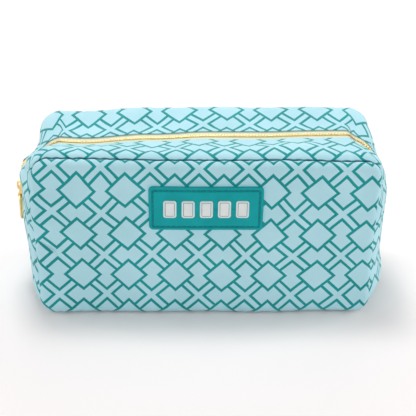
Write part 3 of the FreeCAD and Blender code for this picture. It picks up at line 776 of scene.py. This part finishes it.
def gathers(stations, flat_distance):
    seam, outward = stations[0], stations[1]
    wave = pucker(seam[:, 0], seam[:, 2], outward[:, 0], outward[:, 2])
    near = np.exp(-flat_distance / 0.008) * np.clip(flat_distance / 0.0015, 0, 1)
    return GATHER * wave[:, None] * near[None, :]


def make_gusset():
    stations, away = gusset_stations()
    inwards, depth, flat_distance = seam_roll()
    plain = np.linspace(BAND_SEAM_Y - inwards[-1], 0, 22)[1:]
    half_y = np.concatenate((BAND_SEAM_Y - inwards, plain))
    half_depth = np.concatenate((depth, np.zeros(len(plain))))
    half_flat = np.concatenate((flat_distance, flat_distance[-1] + half_y[len(depth) - 1] - plain))
    y = np.concatenate((-half_y, half_y[-2::-1]))
    depth = np.concatenate((half_depth, half_depth[-2::-1]))
    distance = np.concatenate((half_flat, half_flat[-2::-1]))
    flat_y = np.concatenate((half_flat - half_flat[-1], (half_flat[-1] - half_flat)[-2::-1]))
    dip = cross_seam_dip(len(stations[0]), away, True)
    grounded = smooth(stations[0][:, 2] / CORNER)
    total = depth[None, :] + dip[:, None] - gathers(stations, distance) * grounded[:, None]
    outer = band_points(stations, y, total)
    flange = SEAM_INSET + FLANGE
    inner_depth = np.where(distance < FLANGE_REACH, flange, PADDED_WALL)
    inner = band_points(stations, y, np.broadcast_to(inner_depth, total.shape))
    along = flat_along(outer, len(y) // 2, len(stations[0]) // 2)
    flat = np.stack(np.broadcast_arrays(along[:, None], flat_y[None, :]), axis=-1)
    # Painted shade: dark where the fabric dives into the seam and into the cross seams.
    seam_painted_shade = shade_of_seam(distance, BAND_SEAM_SHADE)
    cross = 1 - smooth((CROSS_SEAM_DIP - dip) / CROSS_SEAM_DIP * 2.2)
    painted_crease_shade = np.maximum(seam_painted_shade[None, :], cross[:, None])
    piece = thick_sheet("side_and_base_cover", outer, inner, CANVAS, "printed_canvas", flat, painted_crease_shade, LINING)
    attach(piece, "bag")
    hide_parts("gusset", "gusset_foam")
    lining_y = np.linspace(-LINING_END, LINING_END, LINING_COLUMNS)
    shape = (len(stations[0]), LINING_COLUMNS)
    top = band_points(stations, lining_y, np.full(shape, LINING_TOP))
    below = band_points(stations, lining_y, np.full(shape, LINING_TOP + LINING_THICKNESS))
    lining_flat = np.stack(np.broadcast_arrays(along[:, None], lining_y[None, :]), axis=-1)
    lining = thick_sheet("side_and_base_lining", top, below, LINING, "lining", lining_flat)
    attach(lining, "bag")
    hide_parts("gusset_lining")


make_gusset()


def turned_over(points, left, front):
    """The left front piece as the piece on another side."""
    points = points.copy()
    if not left:
        points[..., 0] *= -1
    if not front:
        points[..., 1] *= -1
    return points


def across_hinge(piece):
    """Bakes the placement of a piece of the zipped top into its mesh."""
    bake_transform(piece)


def make_strip(left, front, lattice_at):
    """A quarter of the band's upper half: padded cover, lining and zip tape."""
    stations, away = strip_stations()
    dip = cross_seam_dip(len(stations[0]), away, False)
    inwards, depth, distance = seam_roll()
    seam_end = BAND_SEAM_Y - inwards[-1]
    fold_raise = FRONT_FOLD_RAISE if front else BACK_FOLD_RAISE
    fold = (FABRIC + fold_raise) / 2
    plain = np.linspace(seam_end, STRIP_EDGE + fold, 26)[1:]
    turn = np.linspace(0, math.pi / 2, 5)[1:]
    rounding_y = STRIP_EDGE + fold - fold * np.sin(turn)
    rounding_depth = fold * (1 - np.cos(turn))
    y = np.concatenate((BAND_SEAM_Y - inwards, plain, rounding_y))
    depth = np.concatenate((depth, np.zeros(len(plain)), rounding_depth))
    flat_end = distance[-1] + seam_end
    flat_across = np.concatenate((distance, flat_end - plain, flat_end - rounding_y))
    raised = fold_raise * (1 - smooth((y - STRIP_EDGE) / FOLD_REACH))
    total = (depth - raised)[None, :] + dip[:, None] - gathers(stations, flat_across)
    puff = FRONT_PUFF if front else BACK_PUFF
    outer = band_points(stations, -y, total, puff)
    flange = SEAM_INSET + FLANGE
    wall = FABRIC + (PADDED_WALL - FABRIC) * smooth((y - FOAM_START + 0.0003) / 0.0018)
    inner_depth = np.where(flat_across < FLANGE_REACH, flange, wall)
    inner_y = np.maximum(y, STRIP_EDGE + 0.0004)
    inner = band_points(stations, -inner_y, np.broadcast_to(inner_depth, total.shape), puff)
    along = flat_along(outer, 20, len(stations[0]) - 1)
    flat_y = flat_across if front else -flat_across
    flat_x = along if left else -along
    flat = np.stack(np.broadcast_arrays(flat_x[:, None], flat_y[None, :]), axis=-1) - np.array(lattice_at)
    # Painted shade: dark along the zip's folded edge, where the fabric dives into the seam and at the cross
    # seam.
    fold_shade = 0.7 * smooth(1 - (y - STRIP_EDGE) / FOLD_SHADE)
    seam_painted_shade = np.maximum(shade_of_seam(flat_across, BAND_SEAM_SHADE), fold_shade)
    cross = 1 - smooth((CROSS_SEAM_DIP - dip) / CROSS_SEAM_DIP * 2.2)
    painted_crease_shade = np.maximum(seam_painted_shade[None, :], cross[:, None])
    end = ("front" if front else "back") + "_" + ("left" if left else "right")
    lip = ("front" if front else "back") + "_flap_"
    outer, inner = (turned_over(points, left, front) for points in (outer, inner))
    cover = thick_sheet(end + "_top_cover", outer, inner, CANVAS, "printed_canvas", flat, painted_crease_shade, LINING)
    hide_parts(end + "_strip_end", end + "_strip_end_foam", lip + "strip", lip + "strip_foam")
    across_hinge(cover)
    layers = (
        ("_top_lining", LINING, "lining", LINING_END, LINING_INNER, LINING_TOP, LINING_THICKNESS),
        ("_zip_tape", TAPE, "zip_tape", TAPE_OUTER, TAPE_INNER, TAPE_TOP, TAPE_THICKNESS),
    )
    for suffix, material, slot, far, near, top, thickness in layers:
        layer_y = np.linspace(far, near, 17)
        shape = (len(stations[0]), 17)
        sheets = []
        for level in (top, top + thickness):
            points = band_points(stations, -layer_y, np.full(shape, level), puff)
            sheets.append(turned_over(points, left, front))
        layer_flat = np.stack(np.broadcast_arrays(flat_x[:, None], layer_y[None, :]), axis=-1)
        layer = thick_sheet(end + suffix, *sheets, material, slot, layer_flat)
        across_hinge(layer)
        if slot == "lining":
            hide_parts(end + "_strip_end_lining", lip + "strip_lining")
        else:
            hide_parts(end + "_tape_end", lip + "tape")


make_strip(True, True, FRONT_STRIP_LATTICE)
make_strip(False, True, FRONT_STRIP_LATTICE)
make_strip(True, False, BACK_STRIP_LATTICE)
make_strip(False, False, BACK_STRIP_LATTICE)


# Zip teeth


def inset_outline(outline, distance):
    """A closed outline drawn in by a distance, for the bevel at each end of a tooth."""
    before = np.roll(outline, 1, axis=0)
    after = np.roll(outline, -1, axis=0)
    first = (outline - before) / np.linalg.norm(outline - before, axis=1)[:, None]
    second = (after - outline) / np.linalg.norm(after - outline, axis=1)[:, None]
    first_normal = np.stack((-first[:, 1], first[:, 0]), axis=1)
    second_normal = np.stack((-second[:, 1], second[:, 0]), axis=1)
    bisector = first_normal + second_normal
    scale = 1 + np.sum(first_normal * second_normal, axis=1)
    return outline + distance * bisector / scale[:, None]


def tooth_outline():
    """Two legs that clamp the tape and a rounded head, as (distance from the zip's middle, height)."""
    half = TOOTH_HEIGHT / 2
    corner = 0.00035
    return np.array(
        (
            (-TOOTH_REACH, -half + corner),
            (-TOOTH_REACH + corner, -half),
            (TOOTH_TIP - 2 * corner, -half),
            (TOOTH_TIP - 0.5 * corner, -half + 0.8 * corner),
            (TOOTH_TIP, 0.0),
            (TOOTH_TIP - 0.5 * corner, half - 0.8 * corner),
            (TOOTH_TIP - 2 * corner, half),
            (-TOOTH_REACH + corner, half),
            (-TOOTH_REACH, half - corner),
            (-TOOTH_REACH, TOOTH_SLOT),
            (-TOOTH_ROOT, TOOTH_SLOT),
            (-TOOTH_ROOT, -TOOTH_SLOT),
            (-TOOTH_REACH, -TOOTH_SLOT),
        )
    )


def tooth_shape():
    """One tooth along the zip: points as (along, across, up) and the faces between them."""
    outline = tooth_outline()
    bevel = 0.00012
    small = inset_outline(outline, bevel)
    half = TOOTH_LENGTH / 2
    rings = []
    for along, ring in ((-half, small), (-half + bevel, outline), (half - bevel, outline), (half, small)):
        rings.append(np.column_stack((np.full(len(ring), along), ring)))
    count = len(outline)
    faces = [list(range(count)), [3 * count + place for place in range(count)][::-1]]
    for level in range(3):
        for place in range(count):
            following = (place + 1) % count
            low = level * count
            faces.append([low + place, low + count + place, low + count + following, low + following])
    return np.concatenate(rings), faces


def zip_path():
    """The middle of the tape from the last tooth on the top, round the left corner, down the side."""
    parts = joined(
        top_stations(np.array((-LAST_TOOTH_X,))),
        top_corner_stations(np.arange(90.0, -1.0, -1.0)),
        side_stations(np.linspace(CORNER_TOP_Z, SHOULDER_Z, 60)[1:]),
        side_stations(np.array((CROSS_SEAM_Z,))),
    )
    return band_points(parts, np.zeros(1), np.full((1, 1), TAPE_MIDDLE))[:, 0]


def side_tooth_places(lowest):
    """Evenly spaced (place, way along, way out, row) round the corner and down to the lowest tooth."""
    path = zip_path()
    steps = np.linalg.norm(np.diff(path, axis=0), axis=1)
    passed = np.concatenate(((0.0,), np.cumsum(steps)))
    places = []
    wanted = TOOTH_PITCH / 2
    row = -1
    while wanted < passed[-1]:
        index = np.searchsorted(passed, wanted) - 1
        forward = (path[index + 1] - path[index]) / steps[index]
        centre = path[index] + forward * (wanted - passed[index])
        if centre[2] < lowest:
            break
        places.append((centre, forward, np.array((forward[2], 0.0, -forward[0])), row))
        wanted += TOOTH_PITCH / 2
        row = -row
    return places


def make_teeth(name, places, row, left):
    points, faces = tooth_shape()
    every_point = []
    every_face = []
    for index, (centre, forward, outward) in enumerate(places):
        across = np.array((0.0, float(row), 0.0))
        placed = centre + points[:, :1] * forward + points[:, 1:2] * across + points[:, 2:] * outward
        if not left:
            placed[:, 0] *= -1
        every_point.append(placed)
        every_face.extend([place + index * len(points) for place in face] for face in faces)
    return new_piece(name, settle(np.concatenate(every_point)), every_face, METAL, sharp=30.0)


def top_tooth_places(row):
    """Places on the top from the middle to the last tooth at the left, nearest the middle first."""
    height = HEIGHT + TOP_RISE - TAPE_MIDDLE
    first = TOOTH_PITCH / 2 if row > 0 else 0.0
    count = FRONT_TEETH // 2
    forward = np.array((-1.0, 0.0, 0.0))
    outward = np.array((0.0, 0.0, 1.0))
    return [
        (np.array((-first - index * TOOTH_PITCH, 0.0, height)), forward, outward)
        for index in range(count)
        if first + index * TOOTH_PITCH <= LAST_TOOTH_X + 1e-9
    ]


def make_zip_teeth():
    for row, end in ((1, "front"), (-1, "back")):
        for left in (True, False):
            side = "left" if left else "right"
            lowest = SLIDER_TOP_AT_LIMIT_Z if left else LOWEST_RIGHT_TOOTH_Z
            places = top_tooth_places(row)
            if row < 0 and not left:
                places = places[1:]
            for centre, forward, outward, side_row in side_tooth_places(lowest):
                if side_row == row:
                    places.append((centre, forward, outward))
            teeth = make_teeth(end + "_" + side + "_teeth", places, row, left)
            across_hinge(teeth)
            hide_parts(end + "_flap_teeth")
            if not left:
                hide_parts("right_side_teeth")
        # These part where the slider passes; here they stay with the bag, one piece for each row.
        low = []
        for centre, forward, outward, side_row in side_tooth_places(LOWEST_LEFT_TOOTH_Z):
            if side_row == row and centre[2] < SLIDER_TOP_AT_LIMIT_Z:
                low.append((centre, forward, outward))
        parting = make_teeth(end + "_parting_teeth", low, row, True)
        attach(parting, "bag")
        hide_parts("left_side_teeth")
        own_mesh(parting)


make_zip_teeth()


# Label patch


def patch_ring(half_width, half_height, corner, inset):
    """Points round a rounded rectangle drawn in by inset, as (x, z) from its centre."""
    half_width = half_width - inset
    half_height = half_height - inset
    radius = max(corner - inset, 0.0003)
    arcs = []
    for side_x, side_z, start in ((1, 1, 0), (-1, 1, 90), (-1, -1, 180), (1, -1, 270)):
        angle = np.radians(start + np.linspace(0, 90, 8))
        centre = np.array((side_x * (half_width - radius), side_z * (half_height - radius)))
        arcs.append(centre + radius * np.stack((np.cos(angle), np.sin(angle)), axis=1))
    points = []
    for index, arc in enumerate(arcs):
        following = arcs[(index + 1) % 4]
        steps = 30 if index % 2 == 0 else 12
        points.extend((arc, np.linspace(arc[-1], following[0], steps)[1:-1]))
    return np.concatenate(points)


def stacked_rings(name, centre_x, half_sizes, corner, profile, material, slot, line=None):
    """A raised piece on the front cover: rings at each (inset, height) of a profile, and their caps."""
    rings = []
    for inset, height in profile:
        ring = patch_ring(*half_sizes, corner, inset)
        x = centre_x + ring[:, 0]
        z = PATCH_Z + ring[:, 1]
        rings.append(np.stack((x, panel_face(x, z) - height, z), axis=1))
    count = len(rings[0])
    faces = [list(range(count)), [(len(rings) - 1) * count + place for place in range(count)]]
    for level in range(len(rings) - 1):
        for place in range(count):
            following = (place + 1) % count
            low = level * count
            faces.append([low + place, low + count + place, low + count + following, low + following])
    piece = new_piece(name, settle(np.concatenate(rings)), faces, material, sharp=35.0)
    if line is not None:
        piece.data.materials.append(RUBBER)
        first = 2 + line * count
        for face in piece.data.polygons[first : first + count]:
            face.material_index = 1
    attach(piece, "bag")
    return piece


def make_patch():
    top = PATCH_THICKNESS
    floor = top - GROOVE_DEPTH
    outer = GROOVE_INSET
    inner = GROOVE_INSET + GROOVE_WIDTH
    soft = 0.00018
    profile = [(0.0006, -PATCH_SINK), (0.0, -PATCH_SINK / 2), (0.0, top - 0.0008), (0.0001, top - 0.0004)]
    profile += [(0.0004, top - 0.0001), (0.0008, top)]
    profile += [(outer - soft, top), (outer, top - soft)]
    profile += [(outer + soft, floor + soft), (outer + 2 * soft, floor)]
    profile += [(inner - 2 * soft, floor), (inner - soft, floor + soft)]
    profile += [(inner, top - soft), (inner + soft, top)]
    profile += [(inset * 0.001, top) for inset in (5.0, 7.0, 9.0, 11.0, 13.0, 15.0, 16.3)]
    half_sizes = (PATCH_WIDTH / 2, PATCH_HEIGHT / 2)
    patch = stacked_rings("blank_patch", PATCH_X, half_sizes, PATCH_CORNER, profile, RUBBER, "patch_rubber")
    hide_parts("label_patch")


def make_tiles():
    """Five blank tiles in a row, each with a plain line round its face."""
    base = PATCH_THICKNESS
    top = base + TILE_PROUD
    profile = [(0.0, base - 0.0003), (0.0, top - 0.0004), (0.0001, top - 0.00015), (0.0004, top)]
    profile += [(0.0011, top), (0.0012, top - 0.00018), (0.00155, top - 0.00018), (0.00165, top)]
    profile += [(0.0026, top), (0.0035, top), (0.0041, top)]
    line_level = 5
    half_sizes = (TILE_WIDTH / 2, TILE_HEIGHT / 2)
    finish = (TILE_CORNER, profile, MOTIF, "motif_rubber", line_level)
    for index in range(TILE_COUNT):
        centre_x = PATCH_X + (index - (TILE_COUNT - 1) / 2) * TILE_PITCH
        name = "blank_tile_" + str(index + 1)
        tile = stacked_rings(name, centre_x, half_sizes, *finish)
        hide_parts("label_motif")


def make_stitches():
    """Thread stitches lying in the patch's groove, each a small capsule with its ends dipping in."""
    inset = GROOVE_INSET + GROOVE_WIDTH / 2
    ring = patch_ring(PATCH_WIDTH / 2, PATCH_HEIGHT / 2, PATCH_CORNER, inset)
    ring = np.concatenate((ring, ring[:1]))
    passed = np.concatenate(((0.0,), np.cumsum(np.linalg.norm(np.diff(ring, axis=0), axis=1))))
    count = round(passed[-1] / STITCH_PITCH)
    shares = np.linspace(-1, 1, 9)
    turn = np.radians(np.arange(0, 360, 45))
    points = []
    faces = []
    for index in range(count):
        middle = (index + 0.5) / count * passed[-1]
        along = np.clip(middle + shares * STITCH_LENGTH / 2, 0, passed[-1])
        x = PATCH_X + np.interp(along, passed, ring[:, 0])
        z = PATCH_Z + np.interp(along, passed, ring[:, 1])
        way = np.array((x[-1] - x[0], z[-1] - z[0]))
        way /= np.linalg.norm(way)
        radius = STITCH_WIDTH / 2 * np.sqrt(np.clip(1 - shares**4, 0.02, 1))
        lift = PATCH_THICKNESS - GROOVE_DEPTH + 0.0002 * (1 - shares**2)
        first = len(points) * len(turn)
        for place in range(len(shares)):
            side = radius[place] * np.cos(turn)
            out = radius[place] * np.sin(turn)
            ring_x = x[place] - side * way[1]
            ring_z = z[place] + side * way[0]
            ring_y = panel_face(x[place], z[place]) - lift[place] - out
            points.append(np.stack((ring_x, ring_y, ring_z), axis=1))
        size = len(turn)
        for level in range(len(shares) - 1):
            low = first + level * size
            for place in range(size):
                following = (place + 1) % size
                faces.append([low + place, low + size + place, low + size + following, low + following])
        last = first + (len(shares) - 1) * size
        faces.append([first + place for place in range(size)])
        faces.append([last + place for place in range(size)][::-1])
    thread = new_piece("patch_stitches", settle(np.concatenate(points)), faces, THREAD)
    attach(thread, "bag")
    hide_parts("label_stitches")


make_patch()
make_tiles()
make_stitches()


# Seam bindings inside the bag


def make_binding(side):
    """A folded tape round the inside of one panel's seam, as a closed ring."""
    radius = CORNER - BINDING_INSET
    section = []
    for degrees in range(0, 360, 30):
        angle = math.radians(degrees)
        wide = math.copysign(abs(math.cos(angle)) ** 0.4, math.cos(angle))
        thick = math.copysign(abs(math.sin(angle)) ** 0.7, math.sin(angle))
        section.append((wide * BINDING_WIDTH / 2, thick * BINDING_THICKNESS / 2))
    section = np.array(section)
    rings = []
    for start, side_x, side_z in ((0, 1, 1), (90, -1, 1), (180, -1, -1), (270, 1, -1)):
        for step in range(9):
            angle = math.radians(start + 90 * step / 8)
            out = np.array((math.cos(angle), math.sin(angle)))
            centre = np.array((side_x * CORNER_X, HEIGHT / 2 + side_z * (HEIGHT / 2 - CORNER)))
            ring = []
            for wide, thick in section:
                reach = max(radius - BINDING_WIDTH / 2 + wide, 0.0004)
                place = centre + out * reach
                ring.append((place[0], side * (BINDING_Y + thick), place[1]))
            rings.append(ring)
        steps = 54 if start % 180 == 0 else 24
        following = math.radians(start + 90)
        out = np.array((math.cos(following), math.sin(following)))
        way = np.array((-out[1], out[0]))
        length = 2 * CORNER_X if start % 180 == 0 else HEIGHT - 2 * CORNER
        last = np.array(rings[-1])
        for step in range(1, steps):
            moved = last.copy()
            moved[:, 0] += way[0] * length * step / steps
            moved[:, 2] += way[1] * length * step / steps
            rings.append(moved.tolist())
    rings = np.array(rings)
    count, size = rings.shape[:2]
    faces = []
    for ring in range(count):
        for place in range(size):
            following = (place + 1) % size
            after = (ring + 1) % count
            low = ring * size
            high = after * size
            faces.append((low + place, high + place, high + following, low + following))
    flat = np.stack(np.meshgrid(np.arange(count) * 0.004, np.arange(size) * 0.001, indexing="ij"), axis=-1)
    end = "front" if side < 0 else "back"
    piece = new_piece(end + "_binding_tape", settle(rings), faces, BINDING, flat)
    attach(piece, "bag")
    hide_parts(end + "_seam_binding")


make_binding(-1)
make_binding(1)


# Light, floor and camera


def make_world():
    world = bpy.data.worlds.new("studio")
    bpy.context.scene.world = world
    world.use_nodes = True
    tree = world.node_tree
    tree.nodes.clear()
    output = tree.nodes.new("ShaderNodeOutputWorld")
    light = tree.nodes.new("ShaderNodeBackground")
    light.inputs["Color"].default_value = (1.0, 1.0, 1.0, 1.0)
    light.inputs["Strength"].default_value = 0.42
    white = tree.nodes.new("ShaderNodeBackground")
    white.inputs["Color"].default_value = (1.0, 1.0, 1.0, 1.0)
    white.inputs["Strength"].default_value = 1.0
    path = tree.nodes.new("ShaderNodeLightPath")
    mix = tree.nodes.new("ShaderNodeMixShader")
    seen = tree.nodes.new("ShaderNodeMath")
    seen.operation = "MAXIMUM"
    tree.links.new(path.outputs["Is Camera Ray"], seen.inputs[0])
    tree.links.new(path.outputs["Is Glossy Ray"], seen.inputs[1])
    tree.links.new(seen.outputs[0], mix.inputs[0])
    tree.links.new(light.outputs[0], mix.inputs[1])
    tree.links.new(white.outputs[0], mix.inputs[2])
    tree.links.new(mix.outputs[0], output.inputs["Surface"])


def make_floor():
    bpy.ops.mesh.primitive_plane_add(size=6.0, location=(0, 0, -0.0002))
    floor = bpy.context.object
    floor.name = "floor"
    material = bpy.data.materials.new("floor")
    material.use_nodes = True
    tree = material.node_tree
    shader = tree.nodes["Principled BSDF"]
    shader.inputs["Base Color"].default_value = (0.90, 0.85, 0.845, 1.0)
    shader.inputs["Roughness"].default_value = 0.9
    shader.inputs["Specular IOR Level"].default_value = 0.1
    # The lamps only reach so far, so the floor's own glow keeps it white further out.
    place = tree.nodes.new("ShaderNodeTexCoord")
    away = tree.nodes.new("ShaderNodeVectorMath")
    away.operation = "LENGTH"
    tree.links.new(place.outputs["Object"], away.inputs[0])
    far = tree.nodes.new("ShaderNodeMapRange")
    far.interpolation_type = "SMOOTHSTEP"
    for name, value in (("From Min", 0.3), ("From Max", 1.2), ("To Min", 0.06), ("To Max", 0.7)):
        far.inputs[name].default_value = value
    tree.links.new(away.outputs["Value"], far.inputs["Value"])
    path = tree.nodes.new("ShaderNodeLightPath")
    glow = tree.nodes.new("ShaderNodeMath")
    glow.operation = "MULTIPLY"
    tree.links.new(path.outputs["Is Camera Ray"], glow.inputs[0])
    tree.links.new(far.outputs[0], glow.inputs[1])
    shader.inputs["Emission Color"].default_value = (1.0, 1.0, 1.0, 1.0)
    tree.links.new(glow.outputs[0], shader.inputs["Emission Strength"])
    floor.data.materials.append(material)


def make_lamp(name, place, target, size, energy):
    lamp = bpy.data.lights.new(name, "AREA")
    lamp.shape = "RECTANGLE"
    lamp.size = size[0]
    lamp.size_y = size[1]
    lamp.energy = energy
    holder = bpy.data.objects.new(name, lamp)
    bpy.context.scene.collection.objects.link(holder)
    place = np.array(place)
    holder.location = place
    direction = np.array(target) - place
    holder.rotation_euler = Vector(direction).to_track_quat("-Z", "Y").to_euler()


def make_camera():
    focal_pixels = 1016.0
    image_pixels = 416
    distance = 0.755
    elevation = math.radians(28.2)
    azimuth = math.radians(-1.7)
    roll = math.radians(0.8)
    target = np.array((0.0021, 0.0, 0.0615))
    back = np.array(
        (
            math.sin(azimuth) * math.cos(elevation),
            -math.cos(azimuth) * math.cos(elevation),
            math.sin(elevation),
        )
    )
    right = np.cross(-back, (0.0, 0.0, 1.0))
    right /= np.linalg.norm(right)
    up = np.cross(right, -back)
    rolled_right = math.cos(roll) * right + math.sin(roll) * up
    rolled_up = -math.sin(roll) * right + math.cos(roll) * up
    camera = bpy.data.cameras.new("camera")
    camera.sensor_width = 36.0
    camera.lens = focal_pixels * camera.sensor_width / image_pixels
    camera.clip_start = 0.01
    holder = bpy.data.objects.new("camera", camera)
    bpy.context.scene.collection.objects.link(holder)
    place = target + back * distance
    holder.matrix_world = Matrix(
        [
            [rolled_right[0], rolled_up[0], back[0], place[0]],
            [rolled_right[1], rolled_up[1], back[1], place[1]],
            [rolled_right[2], rolled_up[2], back[2], place[2]],
            [0.0, 0.0, 0.0, 1.0],
        ]
    )
    bpy.context.scene.camera = holder


def dress_hardware():
    """The slider, its pull and the stops show as the solids themselves, in metal."""
    for node in ("slider_body", "slider_bridge", "pull_link", "pull_ring", "closing_stops", "opening_stop"):
        part = bpy.data.objects[node]
        part.data.materials.clear()
        part.data.materials.append(METAL)


dress_hardware()
make_world()
make_floor()
make_lamp("key", (-0.12, 0.18, 1.15), (0, 0, 0.06), (0.3, 0.3), 5.3)
make_lamp("front_fill", (0.15, -1.10, 0.32), (0, 0, 0.06), (0.6, 0.4), 2.5)
make_lamp("left_fill", (-1.05, 0.15, 0.45), (0, 0, 0.06), (0.6, 0.6), 3.2)
make_lamp("right_fill", (1.05, 0.15, 0.45), (0, 0, 0.06), (0.6, 0.6), 4.2)
make_lamp("back_light", (0.10, 1.05, 0.68), (0, 0, 0.10), (0.9, 0.5), 2.2)
make_camera()

bpy.context.scene.view_settings.view_transform = "Standard"
